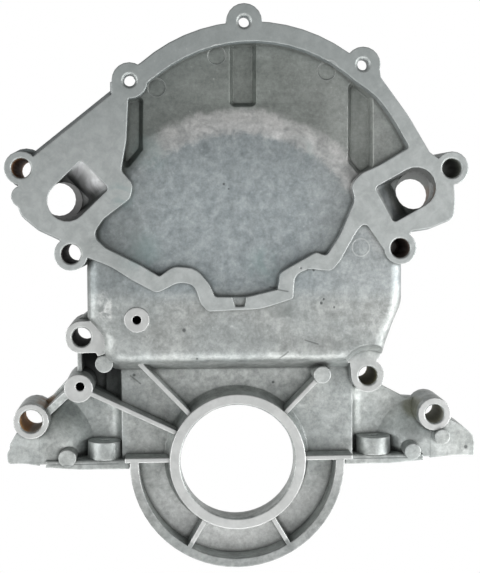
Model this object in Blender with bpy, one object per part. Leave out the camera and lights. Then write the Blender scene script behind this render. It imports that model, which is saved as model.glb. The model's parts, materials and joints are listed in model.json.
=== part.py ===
"""Timing cover of a small V8 engine: one aluminium die casting.

The origin lies on the crankshaft line, in the face that meets the engine block. +Z is up the
engine, +X is to the right as seen from the front, and the front faces -Y. A depth is a distance
in front of the block face, so a point at depth d has y = -d.
"""

from math import atan2, ceil, cos, pi, radians, sin, sqrt, tan

import bmesh
import bpy
from mathutils import Vector

MM = 0.001

# Depths of the faces, from the block face forwards
PUMP_FACE = 54 * MM
DOME_FACE = 52 * MM
SCROLL_FACE = 46 * MM
POCKET_FLOOR = 43 * MM
PAD_FLOOR = 38.5 * MM
SEAL_FACE = 44 * MM
RIB_FACE = 42 * MM
SEAL_FLOOR = 27 * MM
BLOCK_FLANGE = 8.5 * MM
TIE_WALL_FRONT = 30 * MM

# Walls
WALL = 4.5 * MM
TUB_FRONT = PUMP_FACE - 6 * MM
RIM = 6 * MM
ROOF_SLOPE = 7 * MM
FLANGE_THICK = 8 * MM
RIB_THICK = 2.7 * MM
WEB_THICK = 5.2 * MM
DRAFT = 1.2 * MM
WING_DRAFT = 2.7 * MM

# Chain case: a round top about the camshaft line, upright sides and a leaning foot
CASE_X = 5 * MM
CASE_Z = 119 * MM
CASE_RADIUS = 97.5 * MM
CASE_FOOT = 56 * MM
CASE_DRAFT = 1.4 * MM
DOME_ROUND = 8.5 * MM
FOOT_ROUND = 8 * MM
FOOT_LEAN = 0.344
LEAN_TOP = 96 * MM

# Round step in the pump pocket, over the camshaft gear
SCROLL_X = 1 * MM
SCROLL_Z = 119.5 * MM
SCROLL_RADIUS = 86 * MM
SCROLL_SLOPE = 9.5 * MM

# Upper arch of the pump face
ARCH_X = 9 * MM
ARCH_Z = 166.6 * MM
ARCH_RADIUS = 100.4 * MM
ARCH_START = radians(131)
ARCH_END = radians(55)
ARCH_RAIL = 8.6 * MM

# Crankshaft seal housing
SEAL_BORE = 35.5 * MM
SEAL_RELIEF = 37 * MM
SEAL_DEPTH = 13.5 * MM
RING_RADIUS = 42 * MM
RING_FLARE = 3.4 * MM
HOUSING_RADIUS = 66.6 * MM
HOUSING_WALL = 5.4 * MM
SEAL_GROOVE_WIDTH = 8 * MM
SEAL_GROOVE_DEPTH = 2.4 * MM
CRANK_LEFT = -71.8 * MM
CRANK_RIGHT = 73.6 * MM

# Oil pan rail
PAN_FACE = -5.8 * MM
PAN_FLANGE_TOP = 0 * MM
PAN_FLANGE_EDGE = 1.5 * MM
PAN_BOSS_RADIUS = 10.2 * MM
PAN_BOSS_DRAFT = 0.6 * MM
PAN_BOSS_TOP = 10.7 * MM
PAN_HOLE = 3.4 * MM

# Each side of the oil pan rail: flange front, and the bolt boss's x and depth
PAN_SIDES = (("left", 32 * MM, -83.2 * MM, 21.5 * MM), ("right", 28 * MM, 88.2 * MM, 18.6 * MM))
END_BLOCK_DRAFT = 0.4 * MM
WING_HOLLOW = 7 * MM

# Bolt bosses: name, x, z, boss radius, hole radius in front and behind, and front depth, in
# millimetres
LONG_BOSSES = (
    ("ear_left", -128.5, 180.4, 10.0, 5.9, 5.9, 54),
    ("lower_left", -99.8, 129.3, 10.0, 5.9, 5.9, 54),
    ("ear_right", 129.9, 179.8, 10.1, 5.9, 5.9, 54),
    ("lower_right", 98.6, 131.7, 9.8, 6.0, 4.3, 54),
    ("case_left", -94.8, 78.6, 9.9, 5.8, 5.8, 46),
    ("case_right", 81.4, 52.0, 10.3, 5.9, 5.9, 40),
    ("rail_left", -127.5, 25.3, 10.9, 7.1, 7.1, 34),
    ("rail_right", 124.9, 26.3, 10.4, 6.0, 6.0, 34),
)
STEP_DEPTH = 20 * MM

# Bosses on the arch of the pump flange: bearing from its centre, how far inside it, and the
# radii of boss and hole
PLATE_BOSSES = (
    ("plate_left", radians(138.1), 2.4 * MM, 10.6 * MM, 3.4 * MM),
    ("plate_top", radians(92.7), 0, 10.7 * MM, 3.3 * MM),
    ("plate_right", radians(48.5), 0, 10.5 * MM, 3.3 * MM),
)
EAR_FOOT = 2.4 * MM
POINTER_X = -97 * MM
POINTER_Z = 46 * MM
POINTER_RADIUS = 8.1 * MM
POINTER_HOLE = 2.8 * MM
POINTER_HOLE_SHIFT = Vector((0.6, 1.8)) * MM
POINTER_DEPTH = 16 * MM
TAPPED_X = -61.1 * MM
TAPPED_Z = 89.3 * MM
TAPPED_RADIUS = 7.6 * MM
TAPPED_HOLE = 2.7 * MM
TAPPED_DEPTH = 20 * MM
MOUTH = 0.7 * MM

# Ejector pads: x, z, radius and front depth, in millimetres
EJECTOR_PADS = (
    (-81.5, 61.8, 5.4, 44),
    (52.4, 53.4, 5.3, 44),
    (-105.3, 2.1, 5.4, 36),
    (110.8, 3.0, 5.1, 36),
    (129.5, 12.0, 4.8, 36),
)
EJECTOR_MARKS = (
    (-11.8, 248.2, 5.4),
    (-48.1, 229.0, 5.4),
    (55.0, 239.1, 5.4),
)
MARK_DEPTH = 0.5 * MM
RECESS_DRAFT = 0.9 * MM

# Water ports: mouth centre, half width, length to the square end, its bearing, and the rear hole
PORT_CORNER = 2.5 * MM
PORT_WALL = 5 * MM
PORT_THROAT = 34 * MM
LEFT_PORT = (-101.3, 160.6, 11.9, 23.3, 44, -109.6, 162.7, 10.8)
RIGHT_PORT = (107.9, 168.5, 12.2, 22.3, 209, 115.5, 164.3, 10.5)

BIG_ARC = radians(6)
SMALL_ARC = radians(18)
LEAST_RADIUS = 0.3 * MM
OVERRUN = 3 * MM
REACH = 200 * MM

# Walls start behind the block face and run below the pan face, and one cut makes each face flat
BEHIND = -1 * MM
BELOW = PAN_FACE - 1.5 * MM


def turned(x, z, radius, start, end, step=SMALL_ARC):
    """Points on an arc about (x, z), from one bearing to another."""
    count = max(2, ceil(abs(end - start) / step))
    angles = [start + (end - start) * i / count for i in range(count + 1)]
    return [Vector((x + radius * cos(a), z + radius * sin(a))) for a in angles]


def circle(x, z, radius, step=SMALL_ARC):
    return turned(x, z, radius, 0, 2 * pi, step)[:-1]


def rounded(*corners, grow=0.0):
    """An outline through corners of (x, z, radius) in millimetres, with each corner an arc. It can
    be grown outwards by a distance, and then its arcs stay about the same centres."""
    places = [Vector(corner[:2]) * MM for corner in corners]
    area = sum(a.x * b.y - b.x * a.y for a, b in zip(places, places[1:] + places[:1]))
    hand = 1 if area > 0 else -1
    moved, bulges = [], []
    for i, here in enumerate(places):
        before = (here - places[i - 1]).normalized()
        after = (places[(i + 1) % len(places)] - here).normalized()
        square = Vector((before.y, -before.x)) * hand
        normal = (square + Vector((after.y, -after.x)) * hand).normalized()
        moved.append(here + normal * grow / normal.dot(square))
        bulges.append(hand if before.x * after.y > before.y * after.x else -hand)
    points = []
    for i, here in enumerate(moved):
        if not corners[i][2]:
            points.append(here)
            continue
        back = moved[i - 1] - here
        ahead = moved[(i + 1) % len(moved)] - here
        turn = pi - back.angle(ahead)
        radius = max(corners[i][2] * MM + bulges[i] * grow, LEAST_RADIUS)
        reach = min(radius * tan(turn / 2), back.length * 0.48, ahead.length * 0.48)
        bend = reach / tan(turn / 2)
        middle = here + (back.normalized() + ahead.normalized()).normalized() * (bend / cos(turn / 2))
        first = here + back.normalized() * reach - middle
        start = atan2(first.y, first.x)
        sweep = turn * bulges[i] * hand
        points += turned(middle.x, middle.y, bend, start, start + sweep)
    return points


def part_of(name, mesh_data):
    """A named object from a bmesh, with its faces turned outwards."""
    bmesh.ops.recalc_face_normals(mesh_data, faces=mesh_data.faces)
    if mesh_data.calc_volume(signed=True) < 0:
        bmesh.ops.reverse_faces(mesh_data, faces=mesh_data.faces)
    mesh = bpy.data.meshes.new(name)
    mesh_data.to_mesh(mesh)
    mesh_data.free()
    made = bpy.data.objects.new(name, mesh)
    bpy.context.scene.collection.objects.link(made)
    return made


def loft(name, stations):
    """A closed solid through outlines of equal count, each (points, depth)."""
    bm = bmesh.new()
    loops = [[bm.verts.new((p.x, -depth, p.y)) for p in points] for points, depth in stations]
    bm.faces.new(loops[0])
    for near, far in zip(loops, loops[1:]):
        for i in range(len(near)):
            j = (i + 1) % len(near)
            bm.faces.new((near[i], near[j], far[j], far[i]))
    bm.faces.new(loops[-1])
    return part_of(name, bm)


def prism(name, points, back, front):
    """An outline given thickness."""
    return loft(name, ((points, back), (points, front)))


def drafted(name, corners, back, front, draft):
    """Rounded corners given thickness, growing by the draft from the front to the back."""
    return loft(name, ((rounded(*corners, grow=draft), back), (rounded(*corners), front)))


def turning(name, x, z, steps, step=SMALL_ARC):
    """A solid of round sections along the depth, each (radius, depth)."""
    return loft(name, [(circle(x, z, radius, step), depth) for radius, depth in steps])


def stud(name, x, z, radius, back, front, draft=0.0):
    """A round boss along the depth, growing by the draft towards its back."""
    return turning(name, x, z, ((radius + draft, back), (radius, front)))


def swept(name, profile, start, end, step=SMALL_ARC):
    """A length of ring about the crankshaft line, from (radius, depth) points."""
    bm = bmesh.new()
    count = ceil((end - start) / step)
    angles = [start + (end - start) * i / count for i in range(count + 1)]
    rings = [[bm.verts.new((r * cos(a), -depth, r * sin(a))) for r, depth in profile] for a in angles]
    bm.faces.new(rings[0])
    bm.faces.new(rings[-1])
    for near, far in zip(rings, rings[1:]):
        for i in range(len(near)):
            j = (i + 1) % len(near)
            bm.faces.new((near[i], near[j], far[j], far[i]))
    return part_of(name, bm)


def bar(name, start, end, thick, back, front, front_end=None):
    """A straight rib between two points, whose front can run up or down along it."""
    a, b = Vector(start) * MM, Vector(end) * MM
    side = (b - a).orthogonal().normalized() * thick / 2
    bm = bmesh.new()
    corners = (a + side, b + side, b - side, a - side)
    fronts = (front, front_end or front, front_end or front, front)
    rear = [bm.verts.new((p.x, -back, p.y)) for p in corners]
    fore = [bm.verts.new((p.x, -d, p.y)) for p, d in zip(corners, fronts)]
    bm.faces.new(rear)
    bm.faces.new(fore)
    for i in range(4):
        bm.faces.new((rear[i], rear[(i + 1) % 4], fore[(i + 1) % 4], fore[i]))
    return part_of(name, bm)


def upright(name, low, high, bottom, top):
    """A solid along Z between two plans of (x, depth) points."""
    bm = bmesh.new()
    base = [bm.verts.new((p.x, -p.y, bottom)) for p in low]
    head = [bm.verts.new((p.x, -p.y, top)) for p in high]
    bm.faces.new(base)
    bm.faces.new(head)
    for i in range(len(base)):
        j = (i + 1) % len(base)
        bm.faces.new((base[i], base[j], head[j], head[i]))
    return part_of(name, bm)


def combine(target, operation, name, tools, solver="EXACT"):
    """Joins a group of tools to the target, or cuts them from it, in one Boolean."""
    group = bpy.data.collections.new(name)
    bpy.context.scene.collection.children.link(group)
    for tool in tools:
        bpy.context.scene.collection.objects.unlink(tool)
        group.objects.link(tool)
        tool.hide_render = True
        tool.display_type = "WIRE"
        tool.hide_set(True)
    step = target.modifiers.new(name, "BOOLEAN")
    step.operation = operation
    step.solver = solver
    step.operand_type = "COLLECTION"
    step.collection = group
    return target


def on_arch(bearing, inside):
    """A place on the arch of the pump flange, or a distance inside it."""
    radius = ARCH_RADIUS - inside
    return ARCH_X + radius * cos(bearing), ARCH_Z + radius * sin(bearing)


def pump_face_corners():
    """The pump flange without its bosses: the straight wing, the arch, and the rail's lower edge."""
    arch = [(p.x / MM, p.y / MM, 0) for p in
            turned(ARCH_X, ARCH_Z, ARCH_RADIUS, ARCH_START, ARCH_END, BIG_ARC)]
    return (
        (-128.5, 181.3, 0), (-74.6, 224.1, 0), (-74.6, 231, 0), *arch, (85.4, 240.6, 0), (86.2, 234.2, 0), (103.3, 211.0, 90), (116.2, 189.4, 0),
        (129.9, 179.8, 0), (131.3, 169.6, 3), (132.0, 160.5, 12), (131.0, 149.6, 4),
        (116.6, 143.7, 12), (105.8, 142.2, 2), (98.6, 131.7, 0), (94.0, 123.6, 3), (84.9, 136.6, 8),
        (76.9, 148.0, 4), (71.5, 141.5, 12), (61.5, 123.8, 10), (56.4, 118.0, 5), (43.0, 119.8, 9),
        (34.2, 116.0, 7), (33.2, 101.6, 2), (14.0, 95.6, 40), (-18.4, 94.2, 4), (-22.4, 99.0, 8),
        (-26.4, 110.6, 7), (-36.0, 112.2, 12), (-48.8, 105.6, 5), (-63.0, 113.2, 30),
        (-76.6, 122.0, 30), (-90.0, 127.2, 3), (-99.8, 129.3, 0), (-106.7, 138.4, 2),
        (-119.0, 144.2, 9), (-128.6, 152.4, 8), (-131.4, 160.0, 3), (-130.2, 170.0, 2))


def pocket_outline():
    """The pump pocket, inside the gasket rail."""
    arch_inner = ARCH_RADIUS - ARCH_RAIL
    arch = [(p.x / MM, p.y / MM, 0) for p in
            turned(ARCH_X + 0.8 * MM, ARCH_Z - 3 * MM, arch_inner, radians(48), radians(128), BIG_ARC)]
    return rounded(
        (-65.0, 221.0, 2), (-66.3, 197.0, 20), (-69.6, 178.8, 4), (-62.4, 170.6, 7),
        (-64.5, 162.2, 5), (-80.5, 150.1, 6), (-87.2, 140.2, 6), (-79.0, 132.6, 6),
        (-58.8, 122.5, 40), (-47.2, 115.4, 2), (-39.0, 121.4, 8), (-25.6, 120.4, 12),
        (-17.4, 110.6, 12), (-14.0, 102.9, 2), (4.7, 102.5, 30), (24.1, 107.2, 1.5),
        (25.4, 117.2, 4), (47.4, 129.6, 3), (53.6, 127.0, 3), (62.2, 140.4, 20), (71.0, 161.0, 8),
        (68.6, 170.6, 6), (75.0, 177.0, 8), (85.9, 181.8, 30), (104.0, 192.4, 2),
        (95.4, 207.4, 60), (84.8, 222.6, 50), *arch, (-55.0, 229.6, 2))


def tub_outline():
    """The outer wall behind the pump pocket, a little inside the edge of the flange."""
    arch = [(p.x / MM, p.y / MM, 0) for p in
            turned(ARCH_X, ARCH_Z, ARCH_RADIUS - 2.6 * MM, radians(130), radians(52), BIG_ARC)]
    return rounded(
        (-71.6, 226.0, 5), *arch, (85.8, 229.8, 10), (100.4, 209.2, 60), (113.0, 188.6, 8),
        (103.0, 178.0, 10), (90.0, 120.0, 20), (60.0, 100.0, 0), (-60.0, 100.0, 0),
        (-88.0, 126.0, 10), (-90.0, 144.0, 8), (-72.6, 160.0, 8), (-75.0, 178.0, 8))


def case_outline(grow=0.0):
    """The chain case where it meets the block."""
    top = [(p.x / MM, p.y / MM, 0) for p in
           turned(CASE_X, CASE_Z, CASE_RADIUS, pi, 0, BIG_ARC)]
    left, right = (CASE_X - CASE_RADIUS) / MM, (CASE_X + CASE_RADIUS) / MM
    foot = CASE_FOOT / MM
    return rounded(
        *top, (right, 98.0, 20), (right - 5.6, 83.0, 30), (right - 9.8, 70.0, 10),
        (right - 13.4, foot, 13), (left + 15.6, foot, 13), (left + 15.6, 75.0, 10),
        (left + 8.5, 91.0, 8), (left, 95.5, 4), grow=grow)


def leaning(points, foot):
    """An outline of the chain case with its foot raised to a height, and the rest drawn with it."""
    low = min(p.y for p in points)
    drawn = []
    for p in points:
        share = min(1, max(0, (LEAN_TOP - p.y) / (LEAN_TOP - low)))
        drawn.append(Vector((p.x, p.y + (foot - low) * share)))
    return drawn


def foot_height(depth, inset=0.0):
    """Where the leaning foot of the chain case stands at a depth, up to its rounded front edge."""
    wall = CASE_FOOT + FOOT_LEAN * max(0, depth - SEAL_FLOOR)
    middle = DOME_FACE - FOOT_ROUND
    over = depth - middle
    slant = sqrt(1 + FOOT_LEAN ** 2)
    if over > FOOT_ROUND * FOOT_LEAN / slant:
        centre = CASE_FOOT + FOOT_LEAN * (middle - SEAL_FLOOR) + FOOT_ROUND * slant
        wall = centre - sqrt(max(0, FOOT_ROUND ** 2 - over ** 2))
    return wall + inset


def dome_stations():
    """The chain case's outlines from the block to its rounded front edge."""
    stations = [(case_outline(), BEHIND), (leaning(case_outline(-CASE_DRAFT / 2), CASE_FOOT), SEAL_FLOOR)]
    for i in range(5):
        angle = i * pi / 8
        inset = CASE_DRAFT + DOME_ROUND * (1 - cos(angle))
        depth = DOME_FACE - DOME_ROUND * (1 - sin(angle))
        stations.append((leaning(case_outline(-inset), foot_height(depth)), depth))
    return stations


def port_mouth(x, z, half, length, bearing, corner=PORT_CORNER):
    """A slot with one round and one square end."""
    along = Vector((cos(bearing), sin(bearing)))
    across = Vector((-along.y, along.x))
    centre = Vector((x, z))
    back = turned(x, z, half, bearing + pi / 2, bearing + 3 * pi / 2)
    end = []
    for side, start in ((-1, -pi / 2), (1, 0)):
        at = centre + along * (length - corner) + across * side * (half - corner)
        end += turned(at.x, at.y, corner, bearing + start, bearing + start + pi / 2)
    return back + end


def ring_like(points, x, z, radius):
    """A circle whose points follow the bearings of another outline's points."""
    middle = sum(points, Vector((0, 0))) / len(points)
    turns = sorted((atan2(p.y - middle.y, p.x - middle.x), i) for i, p in enumerate(points))
    placed = {}
    for place, (_, i) in enumerate(turns):
        angle = turns[0][0] + 2 * pi * place / len(points)
        placed[i] = Vector((x + radius * cos(angle), z + radius * sin(angle)))
    return [placed[i] for i in range(len(points))]


def port_parts(name, port):
    """The tower of a water port and the passage through it."""
    x, z, half, length = (v * MM for v in port[:4])
    bearing = radians(port[4])
    rear_x, rear_z, rear = (v * MM for v in port[5:])
    mouth = port_mouth(x, z, half, length, bearing)
    throat = port_mouth(x, z, half - 0.6 * MM, length * 0.5, bearing)
    outside = [port_mouth(x, z, half + PORT_WALL, reach + PORT_WALL, bearing, PORT_CORNER + PORT_WALL)
               for reach in (length * 0.5, length)]
    tower = loft(name + "_tower", (
        (ring_like(mouth, rear_x, rear_z, rear + PORT_WALL), BEHIND),
        (outside[0], PORT_THROAT), (outside[1], PUMP_FACE - MM)))
    trough = loft(name + "_trough", (
        (throat, PORT_THROAT), (mouth, PUMP_FACE), (mouth, PUMP_FACE + OVERRUN)))
    inner = circle(x, z, half - 0.6 * MM)
    outer = circle(rear_x, rear_z, rear)
    passage = loft(name + "_passage", (
        (outer, -OVERRUN), (outer, 0), (inner, PORT_THROAT - 4 * MM), (inner, PORT_THROAT + 4 * MM)))
    return tower, trough, passage


def wing(name, outline, plan):
    """A lower wing: its outline cut to a plan of (x, depth) points in millimetres, which rises to
    a rounded ridge beside the crank case."""
    top, bottom = max(p.y for p in outline), min(p.y for p in outline)
    body = prism(name, outline, BEHIND, SEAL_FLOOR)
    places = [Vector(point) * MM for point in plan]
    slope = upright(name + "_slope", places, places, bottom - OVERRUN, top + OVERRUN)
    return combine(body, "INTERSECT", name + "_plan", [slope])


def pan_rail(side, front, x, depth):
    """One side of the oil pan flange, and the bolt boss that stands on it."""
    hand = 1 if x > 0 else -1
    top, pan, edge = PAN_FLANGE_TOP, BELOW, PAN_FLANGE_EDGE
    lap = 0.2 * MM
    outer, inner = hand * 119 * MM, (CRANK_RIGHT if x > 0 else CRANK_LEFT) - hand * WALL
    sole = abs(outer) - 10 * MM
    flange = loft("pan_flange_" + side, [
        ([Vector((outer, lift)), Vector((inner, lift)), Vector((inner, pan)), Vector((hand * sole, pan)),
          Vector((outer, top - 3 * MM))], at)
        for lift, at in ((top, BEHIND), (top, front - edge), (top - edge * 0.3, front - edge * 0.3),
                         (top - edge, front))])
    low = circle(x, depth, PAN_BOSS_RADIUS + PAN_BOSS_DRAFT)
    high = circle(x, depth, PAN_BOSS_RADIUS)
    return flange, upright("pan_boss_" + side, low, high, top - lap, PAN_BOSS_TOP)


def outer_skins():
    flange_back = PUMP_FACE - FLANGE_THICK
    pan = BELOW / MM
    left_end = ((-137, 16.5, 4), (-143.3, 1, 5), (-142, -2, 2), (-128, -2.2, 8))
    right_end = ((136.3, 21.6, 0), (143, 17.8, 12), (152.6, 8.5, 6), (152.6, -2, 1.5), (128, -2.2, 8))
    skins = [
        loft("case", dome_stations()),
        prism("tub", tub_outline(), POCKET_FLOOR - WALL, TUB_FRONT),
        drafted("left_wing_edge", ((-128.5, 181.3, 0), (-76.5, 222.6, 0), (-90, 190, 0), (-120, 172, 0)),
                flange_back, PUMP_FACE - 0.2 * MM, WING_DRAFT),
        prism("crank_case", rounded(
            (CRANK_LEFT / MM, 62, 3), (CRANK_RIGHT / MM, 62, 3), (CRANK_RIGHT / MM, pan, 0),
            (CRANK_LEFT / MM, pan, 0)), BEHIND, SEAL_FLOOR),
        wing("wing_left", rounded(
            (-99.5, 72, 0), (-99.5, 55.6, 4), (-117, 36.6, 0), (-127.5, 30, 0), *left_end,
            (-113, pan, 20), (-70, pan, 0), (-70, 72, 0)),
            ((-150, -5), (-150, 8.5), (-118, 8.5), (-104, 10), (-92, 12.2), (-84.5, 14.2),
             (-81.4, 15), (-79.6, 14.8), (-77.6, 13.6), (-76, 11.8), (-75.2, 10.2), (-75, 9), (-60, 9),
             (-60, -5))),
        wing("wing_right", rounded(
            (70, 60, 0), (86, 46.4, 0), (94.4, 41.7, 0), (111, 32.9, 0), (124.9, 32, 0), *right_end,
            (108, pan, 20), (70, pan, 0)),
            ((156, -5), (156, 8.5), (117, 8.5), (104, 9.5), (94, 11), (88.4, 12.6), (85, 13.6),
             (83.2, 13.4), (81.4, 12.4), (80, 10.9), (79.4, 9.8), (79.2, 9), (60, 9), (60, -5))),
    ]
    for side, front, x, depth in PAN_SIDES:
        inner_end = ((-117, 20, 4), (-127.5, 25, 0), *left_end, (-117, -4.2, 0))
        if x > 0:
            inner_end = ((117.5, 20, 4), (124.9, 26, 0), *right_end, (117.5, -3.6, 0))
        skins.append(drafted("end_" + side, inner_end, BEHIND, front - 2 * MM, END_BLOCK_DRAFT))
        skins += pan_rail(side, front, x, depth)
    return drafted("timing_cover", pump_face_corners(), flange_back, PUMP_FACE, DRAFT), skins


def housing():
    """The half round housing under the pan face, with its floor, wall and outer seal groove."""
    wide = HOUSING_RADIUS
    top = PAN_FLANGE_TOP
    half = turned(0, 0, wide, pi, 2 * pi, BIG_ARC)
    body = prism("housing", half + [Vector((wide, top)), Vector((-wide, top))],
                 SEAL_FLOOR - WALL, RIB_FACE)
    inner = turned(0, 0, wide - HOUSING_WALL, pi, 2 * pi, BIG_ARC)
    lift = Vector((0, 4 * MM))
    hollow = prism("housing_hollow", inner + [inner[-1] + lift, inner[0] + lift],
                   SEAL_FLOOR, RIB_FACE + OVERRUN)
    middle = (SEAL_FLOOR + RIB_FACE) / 2
    root, half_width = wide - SEAL_GROOVE_DEPTH, SEAL_GROOVE_WIDTH / 2
    groove = swept("pan_seal_groove", (
        (root, middle - half_width), (wide + OVERRUN, middle - half_width - MM),
        (wide + OVERRUN, middle + half_width + MM), (root, middle + half_width)),
        radians(186.5), radians(353.5), BIG_ARC)
    return body, hollow, groove


def flat_cuts():
    """What makes the block face and the oil pan face flat."""
    outside = [Vector((-REACH, -REACH)), Vector((REACH, -REACH)), Vector((REACH, 2 * REACH)),
               Vector((-REACH, 2 * REACH))]
    under = [Vector((-REACH, -REACH)), Vector((REACH, -REACH)), Vector((REACH, PAN_FACE)),
             Vector((-REACH, PAN_FACE))]
    block = prism("block_face_cut", outside, BEHIND - OVERRUN, 0)
    pan = prism("pan_face_cut", under, BEHIND - OVERRUN, PUMP_FACE + OVERRUN)
    return block, pan


def scroll():
    """The round step in the pump pocket."""
    return loft("scroll_step", (
        (circle(SCROLL_X, SCROLL_Z, SCROLL_RADIUS + SCROLL_SLOPE, BIG_ARC), POCKET_FLOOR - 2 * OVERRUN),
        (circle(SCROLL_X, SCROLL_Z, SCROLL_RADIUS + SCROLL_SLOPE, BIG_ARC), POCKET_FLOOR),
        (circle(SCROLL_X, SCROLL_Z, SCROLL_RADIUS, BIG_ARC), SCROLL_FACE),
        (circle(SCROLL_X, SCROLL_Z, SCROLL_RADIUS, BIG_ARC), SCROLL_FACE + OVERRUN)))


def recess_corners():
    """Corners of the three recesses in the floor of the pump pocket."""
    return {
        "left_recess": ((-64.6, 220.4, 1), (-58.6, 221.6, 1), (-59.2, 193, 1), (-67.6, 183, 1)),
        "top_recess": ((-1.6, 254.6, 1), (10, 254.6, 1), (9.8, 220, 1), (-1.8, 220, 1)),
        "right_recess": ((70.6, 231.0, 1), (81.2, 222.4, 1), (81.4, 182, 1), (76.2, 178.6, 1),
                         (70.4, 185.6, 1)),
    }


def hollows():
    """What is cut from the skins: the pump pocket, and the chain case from behind."""
    pocket = pocket_outline()
    deep = prism("pocket_deep", pocket, POCKET_FLOOR, PUMP_FACE + OVERRUN)
    combine(deep, "DIFFERENCE", "scroll", [scroll()])
    level = prism("pocket_level", pocket, SCROLL_FACE, PUMP_FACE + OVERRUN)
    inside = case_outline(-RIM)
    shoulder, roof = PAD_FLOOR - WALL, SCROLL_FACE - WALL
    upper = loft("case_hollow", (
        (inside, -OVERRUN), (inside, SEAL_FLOOR), (leaning(inside, foot_height(shoulder, RIM)), shoulder),
        (leaning(case_outline(-RIM - ROOF_SLOPE), foot_height(roof, RIM + ROOF_SLOPE)), roof)))
    foot = rounded((-70, 62, 6), (80, 62, 6), (88, 80, 12), (94, 97, 6), (60, 97, 4), (36, 90, 8),
                   (-24, 89, 8), (-46, 99, 6), (-82, 99, 6), (-80, 96, 2), (-70.6, 80, 6))
    front = DOME_FACE - WALL
    lower = loft("foot_hollow", (
        (foot, -OVERRUN), (foot, SEAL_FLOOR), (leaning(foot, foot_height(shoulder, RIM)), shoulder),
        (leaning(foot, foot_height(front, RIM)), front)))
    crank = prism("crank_hollow", rounded(
        ((CRANK_LEFT + RIM) / MM, 66, 3), ((CRANK_RIGHT - RIM) / MM, 66, 3),
        ((CRANK_RIGHT - RIM) / MM, -80, 0), ((CRANK_LEFT + RIM) / MM, -80, 0)),
        -OVERRUN, SEAL_FLOOR - WALL)
    corner = prism("corner_pocket", rounded(
        (-96.2, 71, 0), (-80.6, 71, 0), (-80.6, 54.6, 0), (-73.6, 54.6, 0), (-73.6, 36, 0), (-96.2, 44, 3)),
        BLOCK_FLANGE, PUMP_FACE)
    wings = [prism("wing_hollow_left", rounded((-98, 34, 3), (-78, 27, 3), (-78, 4, 3), (-98, 4, 3)),
                   -OVERRUN, WING_HOLLOW),
             prism("wing_hollow_right", rounded((82, 38, 3), (104, 27, 3), (104, 4, 3), (82, 4, 3)),
                   -OVERRUN, WING_HOLLOW)]
    return [deep, level, upper, lower, crank] + wings, corner


def inner_features():
    """Bosses, ribs and rings that stand in or on the hollowed shell."""
    made = []
    for name, x, z, radius, _, _, front in LONG_BOSSES:
        made.append(stud(name, x * MM, z * MM, radius * MM, BEHIND, front * MM, 0.5 * MM))
    for name, x, z, radius, _, _, _ in LONG_BOSSES[0:3:2]:
        made.append(stud(name + "_foot", x * MM, z * MM, radius * MM + EAR_FOOT, BEHIND,
                         PUMP_FACE - FLANGE_THICK))
    for name, bearing, inside, radius, _ in PLATE_BOSSES:
        x, z = on_arch(bearing, inside)
        made.append(stud(name, x, z, radius, PUMP_FACE - FLANGE_THICK, PUMP_FACE))
    made.append(stud("ear_bump", -128.1 * MM, 163.6 * MM, 6.5 * MM, PUMP_FACE - FLANGE_THICK, PUMP_FACE))
    made.append(drafted("case_left_shoulder", (
        (-94.8, 88.4, 0), (-86.4, 88.6, 5), (-82.6, 80.6, 4), (-74, 80, 0), (-74, 69.6, 0),
        (-81.0, 68.2, 2), (-85.2, 67.0, 0), (-86.1, 69.0, 0), (-96, 69.0, 0)), BEHIND, 46 * MM, 0.4 * MM))
    made.append(drafted("case_right_shoulder", (
        (71.2, 52, 0), (70.4, 60.4, 1), (73.6, 66, 6), (82.4, 69, 8), (88.6, 70.6, 1), (87.6, 60.5, 2),
        (91.4, 53, 0)), BEHIND, 40 * MM, 0.4 * MM))
    made.append(prism("case_gusset", rounded((-89, 94.6, 0), (-97.8, 88, 1), (-94, 82, 0), (-86, 84, 0)),
                      BEHIND, TIE_WALL_FRONT))
    made.append(stud("pointer_boss", POINTER_X, POINTER_Z, POINTER_RADIUS, BEHIND, RIB_FACE, 0.5 * MM))
    made.append(stud("tapped_boss", TAPPED_X, TAPPED_Z, TAPPED_RADIUS, DOME_FACE - TAPPED_DEPTH - WALL,
                     DOME_FACE + 0.4 * MM))
    for i, (x, z, radius, front) in enumerate(EJECTOR_PADS):
        back = SEAL_FLOOR - MM if abs(x) < 70 else BEHIND
        made.append(stud(f"ejector_pad_{i + 1}", x * MM, z * MM, radius * MM, back, front * MM))
    made.append(bar("tie_wall", (-97.4, 74), (-97.4, 50), 2.6 * MM, BEHIND, TIE_WALL_FRONT))
    made.append(bar("pointer_web", (-98, 48.8), (-122, 26), WEB_THICK, BEHIND, RIB_FACE - 2 * MM,
                    LONG_BOSSES[6][-1] * MM))
    root = SEAL_FLOOR - 3 * MM
    made.append(bar("pointer_rib", (-95, 45.7), (-70, 33.7), RIB_THICK, BEHIND, RIB_FACE))
    ribs = (((-73, 35.2), (-36, 17.4)), ((-60.2, 61.6), (-28, 28.0)), ((52.4, 53.4), (28, 28.2)),
            ((-69.5, 1.4), (-40, 1.4)), ((71.5, 1.4), (40, 1.4)), ((-20, -36), (-31.4, -55.6)),
            ((21.6, -36), (33.0, -55.0)))
    for i, (start, end) in enumerate(ribs):
        made.append(bar(f"rib_{i + 1}", start, end, RIB_THICK, root, RIB_FACE))
    wide = RING_RADIUS + RING_FLARE
    made.append(turning("seal_ring", 0, 0, (
        (wide, SEAL_FLOOR - WALL), (wide, SEAL_FLOOR), (RING_RADIUS + 0.35 * RING_FLARE, SEAL_FLOOR + 4 * MM),
        (RING_RADIUS, SEAL_FACE)), BIG_ARC))
    for name, corners in recess_corners().items():
        made.append(prism(name + "_back", rounded(*corners, grow=WALL - MM), PAD_FLOOR - WALL + MM,
                          POCKET_FLOOR - MM))
    return made


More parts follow.
